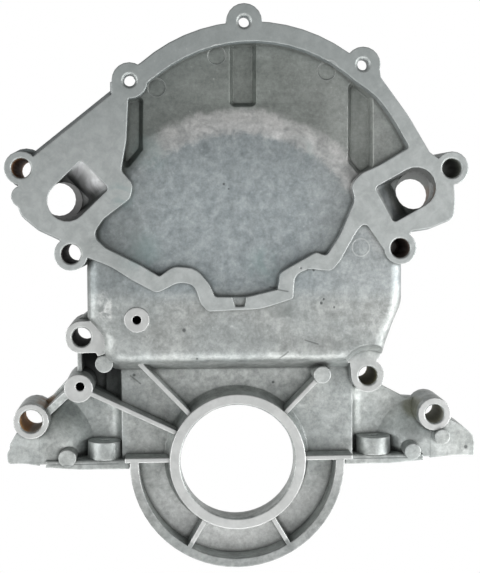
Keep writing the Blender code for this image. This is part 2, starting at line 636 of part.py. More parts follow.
def holes():
    """Everything that is bored, cored or cut last."""
    made = []
    front = PUMP_FACE + OVERRUN
    for name, x, z, _, hole, rear, face in LONG_BOSSES:
        hole, rear, face = hole * MM, rear * MM, face * MM
        step = [(rear, -OVERRUN), (rear, STEP_DEPTH), (hole, STEP_DEPTH)] if rear < hole else [(hole, -OVERRUN)]
        made.append(turning(name + "_hole", x * MM, z * MM, step + [
            (hole, face - MOUTH), (hole + MOUTH, face), (hole + MOUTH, front)]))
    for name, bearing, inside, _, hole in PLATE_BOSSES:
        x, z = on_arch(bearing, inside)
        made.append(turning(name + "_hole", x, z, (
            (hole, PUMP_FACE - 2 * FLANGE_THICK), (hole, PUMP_FACE - 2 * MOUTH),
            (hole + 2 * MOUTH, PUMP_FACE), (hole + 2 * MOUTH, front))))
    pointer = Vector((POINTER_X, POINTER_Z)) + POINTER_HOLE_SHIFT
    made.append(stud("pointer_hole", pointer.x, pointer.y, POINTER_HOLE, RIB_FACE - POINTER_DEPTH, front))
    made.append(stud("tapped_hole", TAPPED_X, TAPPED_Z, TAPPED_HOLE, DOME_FACE - TAPPED_DEPTH, front))
    made.append(turning("seal_bore", 0, 0, (
        (SEAL_RELIEF, SEAL_FLOOR - 2 * WALL), (SEAL_RELIEF, SEAL_FACE - SEAL_DEPTH),
        (SEAL_BORE, SEAL_FACE - SEAL_DEPTH), (SEAL_BORE, SEAL_FACE - MOUTH),
        (SEAL_BORE + MOUTH, SEAL_FACE), (SEAL_BORE + MOUTH, front)), BIG_ARC))
    for side, _, x, depth in PAN_SIDES:
        bore = circle(x, depth, PAN_HOLE)
        made.append(upright("pan_hole_" + side, bore, bore, PAN_FACE - OVERRUN, PAN_BOSS_TOP + OVERRUN))
    for name, corners in recess_corners().items():
        made.append(drafted(name, corners, PAD_FLOOR, POCKET_FLOOR + MM, -RECESS_DRAFT))
    for i, (x, z, radius) in enumerate(EJECTOR_MARKS):
        made.append(stud(f"ejector_mark_{i + 1}", x * MM, z * MM, radius * MM,
                         POCKET_FLOOR - MARK_DEPTH, POCKET_FLOOR + OVERRUN))
    made.append(loft("rail_notch", (
        (rounded((-3.0, 104, 0), (4.6, 104, 0), (3.6, 97.4, 1), (-1.4, 97.4, 1)), DOME_FACE - 0.4 * MM),
        (rounded((-4.6, 104, 0), (5.4, 104, 0), (4.2, 96.4, 1), (-2.2, 96.4, 1)), PUMP_FACE + MM))))
    return made


def aluminium():
    metal = bpy.data.materials.new("cast_aluminium")
    metal.use_nodes = True
    shader = metal.node_tree.nodes["Principled BSDF"]
    shader.inputs["Base Color"].default_value = (0.42, 0.44, 0.43, 1)
    shader.inputs["Metallic"].default_value = 0.85
    shader.inputs["Roughness"].default_value = 0.52
    return metal


def build():
    for old in list(bpy.data.objects):
        bpy.data.objects.remove(old, do_unlink=True)
    cover, skins = outer_skins()
    housing_body, housing_hollow, groove = housing()
    left_tower, left_trough, left_passage = port_parts("left_port", LEFT_PORT)
    right_tower, right_trough, right_passage = port_parts("right_port", RIGHT_PORT)
    cut, corner = hollows()
    block_cut, pan_cut = flat_cuts()
    fine = "MANIFOLD"
    combine(cover, "UNION", "skins", skins)
    combine(cover, "DIFFERENCE", "pan_face", [pan_cut], fine)
    combine(cover, "UNION", "seal_housing", [housing_body], fine)
    combine(cover, "DIFFERENCE", "hollows", cut + [corner, housing_hollow, groove], fine)
    combine(cover, "UNION", "features", [left_tower, right_tower] + inner_features(), fine)
    openings = [left_trough, left_passage, right_trough, right_passage] + holes()
    combine(cover, "DIFFERENCE", "openings", openings, fine)
    combine(cover, "DIFFERENCE", "block_face", [block_cut], fine)
    cover.data.materials.append(aluminium())
    cover.data.shade_smooth()
    cover.data.set_sharp_from_angle(angle=radians(28))


build()
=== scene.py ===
"""A timing cover, one aluminium die casting, as it looks in the photograph.

All lengths are in metres, in the frame of the solid model: the origin is on the crankshaft line in
the block face, +Z is up and the front faces -Y.
"""

import json
from math import atan2, ceil, cos, pi, radians, sin, sqrt, tan

import bmesh
import bpy
from mathutils import Matrix, Vector

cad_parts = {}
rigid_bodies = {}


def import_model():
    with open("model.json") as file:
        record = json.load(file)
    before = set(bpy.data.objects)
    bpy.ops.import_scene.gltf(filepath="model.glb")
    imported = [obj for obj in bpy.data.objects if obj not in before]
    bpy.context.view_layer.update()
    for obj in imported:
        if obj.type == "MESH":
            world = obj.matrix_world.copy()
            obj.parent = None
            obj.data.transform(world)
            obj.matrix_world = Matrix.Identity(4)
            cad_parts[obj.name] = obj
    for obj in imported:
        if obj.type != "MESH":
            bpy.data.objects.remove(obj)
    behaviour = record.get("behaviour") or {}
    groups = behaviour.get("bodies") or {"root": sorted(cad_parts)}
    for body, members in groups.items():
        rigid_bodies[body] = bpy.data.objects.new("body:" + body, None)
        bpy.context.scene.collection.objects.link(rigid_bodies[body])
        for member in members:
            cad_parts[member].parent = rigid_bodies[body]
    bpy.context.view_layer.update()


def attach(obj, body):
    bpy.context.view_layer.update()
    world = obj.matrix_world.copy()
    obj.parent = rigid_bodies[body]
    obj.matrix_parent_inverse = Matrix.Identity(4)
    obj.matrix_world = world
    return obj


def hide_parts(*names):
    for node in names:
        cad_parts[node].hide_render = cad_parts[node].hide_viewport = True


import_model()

MM = 0.001


# The camera of the photograph

EYE = (-0.0396, -0.750, 0.1539)
YAW, PITCH, ROLL = radians(3.348), radians(3.6747), radians(0.25)
SENSOR = 36

# The photograph's long side and the focal length, in its pixels
LONG_SIDE = 573
FOCAL_PIXELS = 1160


def camera():
    ahead = Vector((sin(YAW) * cos(PITCH), cos(YAW) * cos(PITCH), -sin(PITCH)))
    side = Vector((cos(YAW), -sin(YAW), 0))
    up = side.cross(ahead)
    right = side * cos(ROLL) - up * sin(ROLL)
    above = side * sin(ROLL) + up * cos(ROLL)
    lens = bpy.data.cameras.new("camera")
    lens.sensor_width = SENSOR
    lens.lens = FOCAL_PIXELS * SENSOR / LONG_SIDE
    eye = bpy.data.objects.new("camera", lens)
    turn = Matrix((right, above, -ahead)).transposed().to_4x4()
    eye.matrix_world = Matrix.Translation(EYE) @ turn
    bpy.context.scene.collection.objects.link(eye)
    bpy.context.scene.camera = eye


# Shader maths

class Nodes:
    """Makes shader nodes whose outputs can be added, subtracted and multiplied like numbers."""

    def __init__(self, tree):
        self.tree = tree

    def plug(self, node, sockets):
        """Sets a node's sockets, by name or number, to values or to other nodes' outputs."""
        for name, value in sockets.items():
            if isinstance(value, Value):
                self.tree.links.new(value.socket, node.inputs[name])
            else:
                node.inputs[name].default_value = value

    def node(self, kind, sockets, output=0, **settings):
        """One output of a new node, which gets its settings first and then its sockets."""
        made = self.tree.nodes.new(kind)
        for name, value in settings.items():
            setattr(made, name, value)
        self.plug(made, sockets)
        return Value(self, made, output)

    def math(self, operation, a, b=0.0, clamp=False):
        return self.node("ShaderNodeMath", {0: a, 1: b}, operation=operation, use_clamp=clamp)

    def combine(self, x, y, z):
        return self.node("ShaderNodeCombineXYZ", {0: x, 1: y, 2: z})

    def split(self, vector):
        first = self.node("ShaderNodeSeparateXYZ", {0: vector})
        return first, first.beside(1), first.beside(2)

    def length(self, x, z):
        """How long a step across and up is."""
        step = self.combine(x, 0, z)
        return self.node("ShaderNodeVectorMath", {0: step}, "Value", operation="LENGTH")

    def scaled(self, colour, amount):
        sockets = {0: colour, "Scale": amount}
        return self.node("ShaderNodeVectorMath", sockets, operation="SCALE")

    def noise(self, place, scale, detail, rough, distortion=0.0):
        return self.node("ShaderNodeTexNoise", {
            "Vector": place, "Scale": scale, "Detail": detail, "Roughness": rough,
            "Distortion": distortion})

    def ramp(self, value, low, high):
        """0 below low, 1 above high and smooth between them. Low may be above high."""
        return self.node("ShaderNodeMapRange", {
            "Value": value, "From Min": low, "From Max": high, "To Min": 0, "To Max": 1},
            interpolation_type="SMOOTHSTEP")

    def between(self, value, low, high, soft):
        """1 from low to high, and 0 past a soft edge on both sides."""
        return self.ramp(value, low - soft, low) * self.ramp(value, high + soft, high)

    def mix(self, share, a, b):
        """Colour a where the share is 0, and colour b where it is 1."""
        a, b = (colour if isinstance(colour, Value) else (*colour, 1) for colour in (a, b))
        return self.node("ShaderNodeMix", {0: share, 6: a, 7: b}, 2, data_type="RGBA")

    def tinted(self, colour, *layers):
        """A colour under layers of (share, tint)."""
        for share, tint in layers:
            colour = self.mix(share, colour, tint)
        return colour


class Value:
    """One output of a shader node."""

    def __init__(self, nodes, node, output):
        self.nodes = nodes
        self.node = node
        self.socket = node.outputs[output]

    def beside(self, output):
        """Another output of the same node."""
        return Value(self.nodes, self.node, output)

    def limited(self):
        """The value kept between 0 and 1."""
        return self.nodes.math("ADD", self, clamp=True)

    def __add__(self, other):
        return self.nodes.math("ADD", self, other)

    def __radd__(self, other):
        return self.nodes.math("ADD", other, self)

    def __sub__(self, other):
        return self.nodes.math("SUBTRACT", self, other)

    def __rsub__(self, other):
        return self.nodes.math("SUBTRACT", other, self)

    def __mul__(self, other):
        return self.nodes.math("MULTIPLY", self, other)

    def __rmul__(self, other):
        return self.nodes.math("MULTIPLY", other, self)

    def __abs__(self):
        return self.nodes.math("ABSOLUTE", self)


# The casting's sizes

# Depths of the faces, from the block face forwards
PUMP_FACE = 54 * MM
DOME_FACE = 52 * MM
SCROLL_FACE = 46 * MM
POCKET_FLOOR = 43 * MM
PAD_FLOOR = 38.5 * MM
SEAL_FACE = 44 * MM
RIB_FACE = 42 * MM
SEAL_FLOOR = 27 * MM
BLOCK_FLANGE = 8.5 * MM
TIE_WALL_FRONT = 30 * MM

# Walls
WALL = 4.5 * MM
TUB_FRONT = PUMP_FACE - 6 * MM
RIM = 6 * MM
ROOF_SLOPE = 7 * MM
FLANGE_THICK = 8 * MM
RIB_THICK = 2.7 * MM
WEB_THICK = 4.6 * MM
WEB_DROP = 5 * MM
ROOT_ROUND = 9
RISE_STEPS = 12
DRAFT = 1.2 * MM
WING_DRAFT = 2.7 * MM

# Chain case: a round top about the camshaft line, upright sides and a leaning foot
CASE_X = 5 * MM
CASE_Z = 119 * MM
CASE_RADIUS = 97.5 * MM
CASE_FOOT = 56 * MM
CASE_DRAFT = 1.4 * MM
DOME_ROUND = 8.5 * MM
FOOT_ROUND = 8 * MM
FOOT_LEAN = 0.344
LEAN_TOP = 96 * MM

# Round step in the pump pocket, over the camshaft gear
SCROLL_X = 1 * MM
SCROLL_Z = 119.5 * MM
SCROLL_RADIUS = 86 * MM
SCROLL_SLOPE = 9.5 * MM

# Upper arch of the pump face
ARCH_X = 9 * MM
ARCH_Z = 166.6 * MM
ARCH_RADIUS = 100.4 * MM
ARCH_START = radians(131)
ARCH_END = radians(55)
ARCH_RAIL = 8.6 * MM

# Crankshaft seal housing
SEAL_BORE = 35.5 * MM
SEAL_RELIEF = 37 * MM
SEAL_DEPTH = 13.5 * MM
RING_RADIUS = 42 * MM
RING_FLARE = 3.4 * MM
HOUSING_RADIUS = 66.6 * MM
HOUSING_WALL = 5.4 * MM
SEAL_GROOVE_WIDTH = 8 * MM
SEAL_GROOVE_DEPTH = 2.4 * MM
CRANK_LEFT = -71.8 * MM
CRANK_RIGHT = 73.6 * MM

# Oil pan rail
PAN_FACE = -5.8 * MM
PAN_FLANGE_TOP = 0 * MM
PAN_FLANGE_EDGE = 1.5 * MM
PAN_BOSS_RADIUS = 10.7 * MM
PAN_BOSS_DRAFT = 0.6 * MM
PAN_BOSS_TOP = 10.7 * MM
PAN_HOLE = 3.4 * MM

# Each side of the oil pan rail: flange front, and the bolt boss's x and depth
PAN_SIDES = (("left", 32 * MM, -82.6 * MM, 21.5 * MM), ("right", 28 * MM, 88.4 * MM, 18.6 * MM))
END_BLOCK_DRAFT = 0.4 * MM
WING_HOLLOW = 7 * MM

# Bolt bosses: name, x, z, boss radius, hole radius in front and behind, and front depth, in
# millimetres
LONG_BOSSES = (
    ("ear_left", -128.5, 180.4, 10.0, 5.9, 5.9, 54),
    ("lower_left", -99.8, 129.3, 10.0, 5.9, 5.9, 54),
    ("ear_right", 129.9, 179.8, 10.1, 5.9, 5.9, 54),
    ("lower_right", 98.6, 131.7, 9.8, 6.0, 4.3, 54),
    ("case_left", -94.8, 78.6, 9.9, 5.8, 5.8, 46),
    ("case_right", 81.4, 52.0, 10.3, 5.9, 5.9, 40),
    ("rail_left", -127.5, 25.3, 10.9, 7.1, 7.1, 34),
    ("rail_right", 124.9, 26.3, 10.4, 6.0, 6.0, 34),
)
STEP_DEPTH = 20 * MM

# Bosses on the arch of the pump flange: bearing from its centre, how far inside it, and the
# radii of boss and hole
PLATE_BOSSES = (
    ("plate_left", radians(138.1), 2.4 * MM, 10.6 * MM, 3.4 * MM),
    ("plate_top", radians(92.7), 0, 10.7 * MM, 3.3 * MM),
    ("plate_right", radians(48.5), 0, 10.5 * MM, 3.3 * MM),
)
EAR_FOOT = 12 * MM
EAR_FOOT_SHIFT = 2.5 * MM
POINTER_X = -97.4 * MM
POINTER_Z = 46.6 * MM
POINTER_RADIUS = 8.7 * MM
POINTER_HOLE = 2.8 * MM
POINTER_HOLE_SHIFT = Vector((1, 1.2)) * MM
POINTER_DEPTH = 16 * MM
TAPPED_X = -61.1 * MM
TAPPED_Z = 89.3 * MM
TAPPED_RADIUS = 7.6 * MM
TAPPED_HOLE = 2.7 * MM
TAPPED_DEPTH = 20 * MM
MOUTH = 0.7 * MM

# Ejector pads: x, z, radius and front depth, in millimetres
EJECTOR_PADS = (
    (-81.5, 61.8, 5.4, 44),
    (52.4, 53.4, 5.3, 44),
    (-105.3, 2.1, 5.4, 36),
    (110.8, 3.0, 5.1, 36),
    (129.5, 12.0, 4.8, 36),
)
EJECTOR_MARKS = (
    (-11.8, 248.2, 5.4),
    (-48.1, 229.0, 5.4),
    (55.0, 239.1, 5.4),
)
MARK_DEPTH = 0.5 * MM
RECESS_DRAFT = 3.5 * MM

# Clearance in the foot of the case for the bolt of its right boss
RELIEF_X = 81.8 * MM
RELIEF_Z = 52.3 * MM
RELIEF = 15.8 * MM
RELIEF_FLARE = 5.2 * MM

# Water ports: mouth centre, half width, length to the square end, its bearing, and the rear hole
PORT_CORNER = 2.5 * MM
PORT_WALL = 5 * MM
PORT_THROAT = 34 * MM
PORT_DRIFT = 0.4
PORT_RAMP = ((0.5, 34), (0.62, 42), (0.86, 49), (1, 52), (1, 57))
LEFT_PORT = (-101.3, 160.6, 11.9, 23.3, 44, -111.2, 162.4, 10.4)
RIGHT_PORT = (107.9, 168.5, 12.2, 22.3, 209, 115.5, 164.3, 10.5)

BIG_ARC = radians(6)
SMALL_ARC = radians(18)
LEAST_RADIUS = 0.3 * MM
OVERRUN = 3 * MM
REACH = 200 * MM
HELPER_GROUPS = []

# Walls start behind the block face and run below the pan face, and one cut makes each face flat
BEHIND = -1 * MM
BELOW = PAN_FACE - 1.5 * MM


# The casting's shape

def turned(x, z, radius, start, end, step=SMALL_ARC):
    """Points on an arc about (x, z), from one bearing to another."""
    count = max(2, ceil(abs(end - start) / step))
    angles = [start + (end - start) * i / count for i in range(count + 1)]
    return [Vector((x + radius * cos(a), z + radius * sin(a))) for a in angles]


def circle(x, z, radius, step=SMALL_ARC):
    return turned(x, z, radius, 0, 2 * pi, step)[:-1]


def rounded(*corners, grow=0.0):
    """An outline through corners of (x, z, radius) in millimetres, with each corner an arc. It can
    be grown outwards by a distance, and then its arcs stay about the same centres."""
    places = [Vector(corner[:2]) * MM for corner in corners]
    area = sum(a.x * b.y - b.x * a.y for a, b in zip(places, places[1:] + places[:1]))
    hand = 1 if area > 0 else -1
    moved, bulges = [], []
    for i, here in enumerate(places):
        before = (here - places[i - 1]).normalized()
        after = (places[(i + 1) % len(places)] - here).normalized()
        square = Vector((before.y, -before.x)) * hand
        normal = (square + Vector((after.y, -after.x)) * hand).normalized()
        moved.append(here + normal * grow / normal.dot(square))
        bulges.append(hand if before.x * after.y > before.y * after.x else -hand)
    points = []
    for i, here in enumerate(moved):
        if not corners[i][2]:
            points.append(here)
            continue
        back = moved[i - 1] - here
        ahead = moved[(i + 1) % len(moved)] - here
        turn = pi - back.angle(ahead)
        radius = max(corners[i][2] * MM + bulges[i] * grow, LEAST_RADIUS)
        reach = min(radius * tan(turn / 2), back.length * 0.48, ahead.length * 0.48)
        bend = reach / tan(turn / 2)
        middle = here + (back.normalized() + ahead.normalized()).normalized() * (bend / cos(turn / 2))
        first = here + back.normalized() * reach - middle
        start = atan2(first.y, first.x)
        sweep = turn * bulges[i] * hand
        points += turned(middle.x, middle.y, bend, start, start + sweep)
    return points


def part_of(name, mesh_data):
    """A named object from a bmesh, with its faces turned outwards."""
    bmesh.ops.recalc_face_normals(mesh_data, faces=mesh_data.faces)
    if mesh_data.calc_volume(signed=True) < 0:
        bmesh.ops.reverse_faces(mesh_data, faces=mesh_data.faces)
    mesh = bpy.data.meshes.new(name)
    mesh_data.to_mesh(mesh)
    mesh_data.free()
    made = bpy.data.objects.new(name, mesh)
    bpy.context.scene.collection.objects.link(made)
    return made


def extruded(name, outlines):
    """A closed solid extruded through outlines of equal count, each a list of points in space."""
    bm = bmesh.new()
    face = bm.faces.new([bm.verts.new(point) for point in outlines[0]])
    for i, outline in enumerate(outlines[1:]):
        grown = bmesh.ops.extrude_face_region(bm, geom=[face])["geom"]
        if i:
            bmesh.ops.delete(bm, geom=[face], context="FACES_ONLY")
        face = next(item for item in grown if isinstance(item, bmesh.types.BMFace))
        for vert, point in zip(face.verts, outline):
            vert.co = point
    return part_of(name, bm)


def loft(name, stations):
    """A closed solid through outlines as seen from the front, each (points, depth)."""
    return extruded(name, [[(p.x, -depth, p.y) for p in points] for points, depth in stations])


def prism(name, points, back, front):
    """An outline given thickness."""
    return loft(name, ((points, back), (points, front)))


def drafted(name, corners, back, front, draft):
    """Rounded corners given thickness, growing by the draft from the front to the back."""
    return loft(name, ((rounded(*corners, grow=draft), back), (rounded(*corners), front)))


def turning(name, x, z, steps, step=SMALL_ARC):
    """A solid of round sections along the depth, each (radius, depth)."""
    return loft(name, [(circle(x, z, radius, step), depth) for radius, depth in steps])


def stud(name, x, z, radius, back, front, draft=0.0):
    """A round boss along the depth, growing by the draft towards its back."""
    return turning(name, x, z, ((radius + draft, back), (radius, front)))


def swept(name, profile, start, end, step=SMALL_ARC):
    """A length of ring about the crankshaft line, from (radius, depth) points."""
    count = ceil((end - start) / step)
    angles = [start + (end - start) * i / count for i in range(count + 1)]
    return extruded(name, [[(r * cos(a), -depth, r * sin(a)) for r, depth in profile] for a in angles])


def bar(name, start, end, thick, back, front, front_end=None):
    """A straight rib between two points, whose front can run up or down along it."""
    a, b = Vector(start) * MM, Vector(end) * MM
    side = (b - a).orthogonal().normalized() * thick / 2
    corners = (a + side, b + side, b - side, a - side)
    fronts = (front, front_end or front, front_end or front, front)
    fore = [(p.x, -depth, p.y) for p, depth in zip(corners, fronts)]
    return extruded(name, ([(p.x, -back, p.y) for p in corners], fore))


def upright(name, low, high, bottom, top):
    """A solid along Z between two plans of (x, depth) points."""
    return extruded(name, ([(p.x, -p.y, bottom) for p in low], [(p.x, -p.y, top) for p in high]))


def combine(target, operation, name, tools, solver="MANIFOLD"):
    """Joins a group of tools to the target, or cuts them from it, in one Boolean."""
    group = bpy.data.collections.new(name)
    HELPER_GROUPS.append(name)
    bpy.context.scene.collection.children.link(group)
    for tool in tools:
        bpy.context.scene.collection.objects.unlink(tool)
        group.objects.link(tool)
        tool.hide_render = True
        tool.display_type = "WIRE"
        tool.hide_set(True)
    step = target.modifiers.new(name, "BOOLEAN")
    step.operation = operation
    step.solver = solver
    step.operand_type = "COLLECTION"
    step.collection = group
    return target


def on_arch(bearing, inside):
    """A place on the arch of the pump flange, or a distance inside it."""
    radius = ARCH_RADIUS - inside
    return ARCH_X + radius * cos(bearing), ARCH_Z + radius * sin(bearing)


def pump_face_corners():
    """The pump flange without its bosses: the straight wing, the arch, and the rail's lower edge."""
    arch = [(p.x / MM, p.y / MM, 0) for p in
            turned(ARCH_X, ARCH_Z, ARCH_RADIUS, ARCH_START, ARCH_END, BIG_ARC)]
    return (
        (-128.5, 181.3, 0), (-74.6, 224.1, 0), (-74.6, 231, 0), *arch,
        (85.4, 240.6, 0), (86.2, 234.2, 0), (103.3, 211.0, 90), (116.2, 189.4, 0),
        (129.9, 179.8, 0), (131.3, 169.6, 3), (132.0, 160.5, 12), (131.0, 149.6, 4),
        (116.6, 143.7, 12), (105.8, 142.2, 2), (98.6, 131.7, 0), (94.0, 123.6, 3), (84.9, 136.6, 8),
        (76.9, 148.0, 4), (71.5, 141.5, 12), (61.5, 123.8, 10), (56.4, 118.0, 5), (43.0, 119.8, 9),
        (34.2, 116.0, 7), (33.2, 101.6, 2), (14.0, 95.6, 40), (-18.4, 94.2, 4), (-22.4, 99.0, 8),
        (-26.4, 110.6, 7), (-36.0, 112.2, 12), (-48.8, 105.6, 5), (-63.0, 113.2, 30),
        (-76.6, 122.0, 30), (-90.0, 127.2, 3), (-99.8, 129.3, 0), (-106.7, 138.4, 2),
        (-119.0, 144.2, 9), (-128.6, 152.4, 8), (-131.4, 160.0, 3), (-130.2, 170.0, 2))


def pocket_outline():
    """The pump pocket, inside the gasket rail."""
    arch_inner = ARCH_RADIUS - ARCH_RAIL
    arch = [(p.x / MM, p.y / MM, 0) for p in
            turned(ARCH_X + 0.8 * MM, ARCH_Z - 3 * MM, arch_inner, radians(48), radians(128), BIG_ARC)]
    return rounded(
        (-65.0, 221.0, 2), (-66.3, 197.0, 20), (-69.6, 178.8, 4), (-62.4, 170.6, 7),
        (-64.5, 162.2, 5), (-80.5, 150.1, 6), (-87.2, 140.2, 6), (-79.0, 132.6, 6),
        (-58.8, 122.5, 40), (-47.2, 115.4, 2), (-39.0, 121.4, 8), (-25.6, 120.4, 12),
        (-17.4, 110.6, 12), (-14.0, 102.9, 2), (4.7, 102.5, 30), (24.1, 107.2, 1.5),
        (25.4, 117.2, 4), (47.4, 129.6, 3), (53.6, 127.0, 3), (62.2, 140.4, 20), (71.0, 161.0, 8),
        (68.6, 170.6, 6), (75.0, 177.0, 8), (85.9, 181.8, 30), (104.0, 192.4, 2),
        (95.4, 207.4, 60), (84.8, 222.6, 50), *arch, (-55.0, 229.6, 2))


def tub_outline():
    """The outer wall behind the pump pocket, a little inside the edge of the flange."""
    arch = [(p.x / MM, p.y / MM, 0) for p in
            turned(ARCH_X, ARCH_Z, ARCH_RADIUS - 2.6 * MM, radians(130), radians(52), BIG_ARC)]
    return rounded(
        (-71.6, 226.0, 5), *arch, (85.8, 229.8, 10), (100.4, 209.2, 60), (113.0, 188.6, 8),
        (103.0, 178.0, 10), (90.0, 120.0, 20), (60.0, 100.0, 0), (-60.0, 100.0, 0),
        (-88.0, 126.0, 10), (-90.0, 144.0, 8), (-72.6, 160.0, 8), (-75.0, 178.0, 8))


def case_outline(grow=0.0):
    """The chain case where it meets the block."""
    top = [(p.x / MM, p.y / MM, 0) for p in
           turned(CASE_X, CASE_Z, CASE_RADIUS, pi, 0, BIG_ARC)]
    left, right = (CASE_X - CASE_RADIUS) / MM, (CASE_X + CASE_RADIUS) / MM
    foot = CASE_FOOT / MM
    return rounded(
        *top, (right, 98.0, 20), (right - 5.6, 83.0, 30), (right - 9.8, 70.0, 10),
        (right - 13.4, foot, 13), (left + 10, foot, 12), (left + 9.6, 76, 6), (left, 88.5, 6),
        grow=grow)


def leaning(points, foot):
    """An outline of the chain case with its foot raised to a height, and the rest drawn with it."""
    low = min(p.y for p in points)
    drawn = []
    for p in points:
        share = min(1, max(0, (LEAN_TOP - p.y) / (LEAN_TOP - low)))
        drawn.append(Vector((p.x, p.y + (foot - low) * share)))
    return drawn


def foot_height(depth, inset=0.0):
    """Where the leaning foot of the chain case stands at a depth, up to its rounded front edge."""
    wall = CASE_FOOT + FOOT_LEAN * max(0, depth - SEAL_FLOOR)
    middle = DOME_FACE - FOOT_ROUND
    over = depth - middle
    slant = sqrt(1 + FOOT_LEAN ** 2)
    if over > FOOT_ROUND * FOOT_LEAN / slant:
        centre = CASE_FOOT + FOOT_LEAN * (middle - SEAL_FLOOR) + FOOT_ROUND * slant
        wall = centre - sqrt(max(0, FOOT_ROUND ** 2 - over ** 2))
    return wall + inset


def dome_stations():
    """The chain case's outlines from the block to its rounded front edge."""
    stations = [(case_outline(), BEHIND), (leaning(case_outline(-CASE_DRAFT / 2), CASE_FOOT), SEAL_FLOOR)]
    for i in range(5):
        angle = i * pi / 8
        inset = CASE_DRAFT + DOME_ROUND * (1 - cos(angle))
        depth = DOME_FACE - DOME_ROUND * (1 - sin(angle))
        stations.append((leaning(case_outline(-inset), foot_height(depth)), depth))
    return stations


def port_mouth(x, z, half, length, bearing, corner=PORT_CORNER):
    """A slot with one round and one square end."""
    along = Vector((cos(bearing), sin(bearing)))
    across = Vector((-along.y, along.x))
    centre = Vector((x, z))
    back = turned(x, z, half, bearing + pi / 2, bearing + 3 * pi / 2)
    end = []
    for side, start in ((-1, -pi / 2), (1, 0)):
        at = centre + along * (length - corner) + across * side * (half - corner)
        end += turned(at.x, at.y, corner, bearing + start, bearing + start + pi / 2)
    return back + end


def ring_like(points, x, z, radius):
    """A circle whose points follow the bearings of another outline's points."""
    middle = sum(points, Vector((0, 0))) / len(points)
    turns = sorted((atan2(p.y - middle.y, p.x - middle.x), i) for i, p in enumerate(points))
    pitch = 2 * pi / len(points)
    first = sum(bearing - place * pitch for place, (bearing, _) in enumerate(turns)) / len(points)
    placed = {}
    for place, (_, i) in enumerate(turns):
        angle = first + place * pitch
        placed[i] = Vector((x + radius * cos(angle), z + radius * sin(angle)))
    return [placed[i] for i in range(len(points))]


def port_parts(name, port):
    """The tower of a water port and the passage through it."""
    x, z, half, length = (v * MM for v in port[:4])
    bearing = radians(port[4])
    rear_x, rear_z, rear = (v * MM for v in port[5:])
    mouth = port_mouth(x, z, half, length, bearing)
    drift = Vector((rear_x - x, rear_z - z)) * PORT_DRIFT
    outside = [port_mouth(x, z, half + PORT_WALL, reach + PORT_WALL, bearing, PORT_CORNER + PORT_WALL)
               for reach in (length * 0.5, length)]
    tower = loft(name + "_tower", (
        (ring_like(mouth, rear_x, rear_z, rear + PORT_WALL), BEHIND),
        (outside[0], PORT_THROAT), (outside[1], PUMP_FACE - MM)))
    ramp = []
    for share, depth in PORT_RAMP:
        back = max(0, PUMP_FACE - depth * MM) / (PUMP_FACE - PORT_THROAT)
        slot = port_mouth(x, z, half - 0.6 * MM * back, length * share, bearing)
        ramp.append(([p + drift * back for p in slot], depth * MM))
    trough = loft(name + "_trough", ramp)
    inner = circle(x + drift.x, z + drift.y, half - 0.6 * MM)
    outer = circle(rear_x, rear_z, rear)
    passage = loft(name + "_passage", (
        (outer, -OVERRUN), (outer, 0), (inner, PORT_THROAT - 4 * MM), (inner, PORT_THROAT + 4 * MM)))
    return tower, trough, passage


def wing(name, outline, plan):
    """A lower wing: its outline cut to a plan of (x, depth) points in millimetres."""
    top, bottom = max(p.y for p in outline), min(p.y for p in outline)
    body = prism(name, outline, BEHIND, SEAL_FLOOR)
    places = [Vector(point) * MM for point in plan]
    slope = upright(name + "_slope", places, places, bottom - OVERRUN, top + OVERRUN)
    return combine(body, "INTERSECT", name + "_plan", [slope], "EXACT")


def rise(name, wide, narrow, front):
    """A soft slope of a wing up to its end, between two outlines of (x, z) points in millimetres."""
    stations = []
    for i in range(RISE_STEPS + 1):
        share = i / RISE_STEPS
        lift = share * share * (3 - 2 * share)
        points = [Vector(a).lerp(Vector(b), share) * MM for a, b in zip(wide, narrow)]
        stations.append((softened(points), BLOCK_FLANGE + (front - BLOCK_FLANGE) * lift))
    return loft(name, [(stations[0][0], BEHIND)] + stations)


def softened(points):
    """An outline with its corners cut twice."""
    for _ in range(2):
        points = [a.lerp(b, share) for a, b in zip(points, points[1:] + points[:1]) for share in (0.25, 0.75)]
    return points


def root_fillet(x, floor, hand):
    """The concave corner between a wing and the crank case, as (x, depth) points."""
    turns = [radians(20 * i) for i in range(5)]
    return [(x + hand * ROOT_ROUND * sin(a), floor + ROOT_ROUND * (1 - cos(a))) for a in turns]


def pan_rail(side, front, x, depth):
    """One side of the oil pan flange, and the bolt boss that stands on it."""
    hand = 1 if x > 0 else -1
    top, pan, edge = PAN_FLANGE_TOP, BELOW, PAN_FLANGE_EDGE
    lap = 0.2 * MM
    outer, inner = hand * 119 * MM, (CRANK_RIGHT if x > 0 else CRANK_LEFT) - hand * WALL
    sole = abs(outer) - 41 * MM
    flange = loft("pan_flange_" + side, [
        ([Vector((outer, lift)), Vector((inner, lift)), Vector((inner, pan)), Vector((hand * sole, pan)),
          Vector((outer, top - 4.1 * MM))], at)
        for lift, at in ((top, BEHIND), (top, front - edge), (top - edge * 0.3, front - edge * 0.3),
                         (top - edge, front))])
    low = circle(x, depth, PAN_BOSS_RADIUS + PAN_BOSS_DRAFT)
    high = circle(x, depth, PAN_BOSS_RADIUS)
    return flange, upright("pan_boss_" + side, low, high, top - lap, PAN_BOSS_TOP)


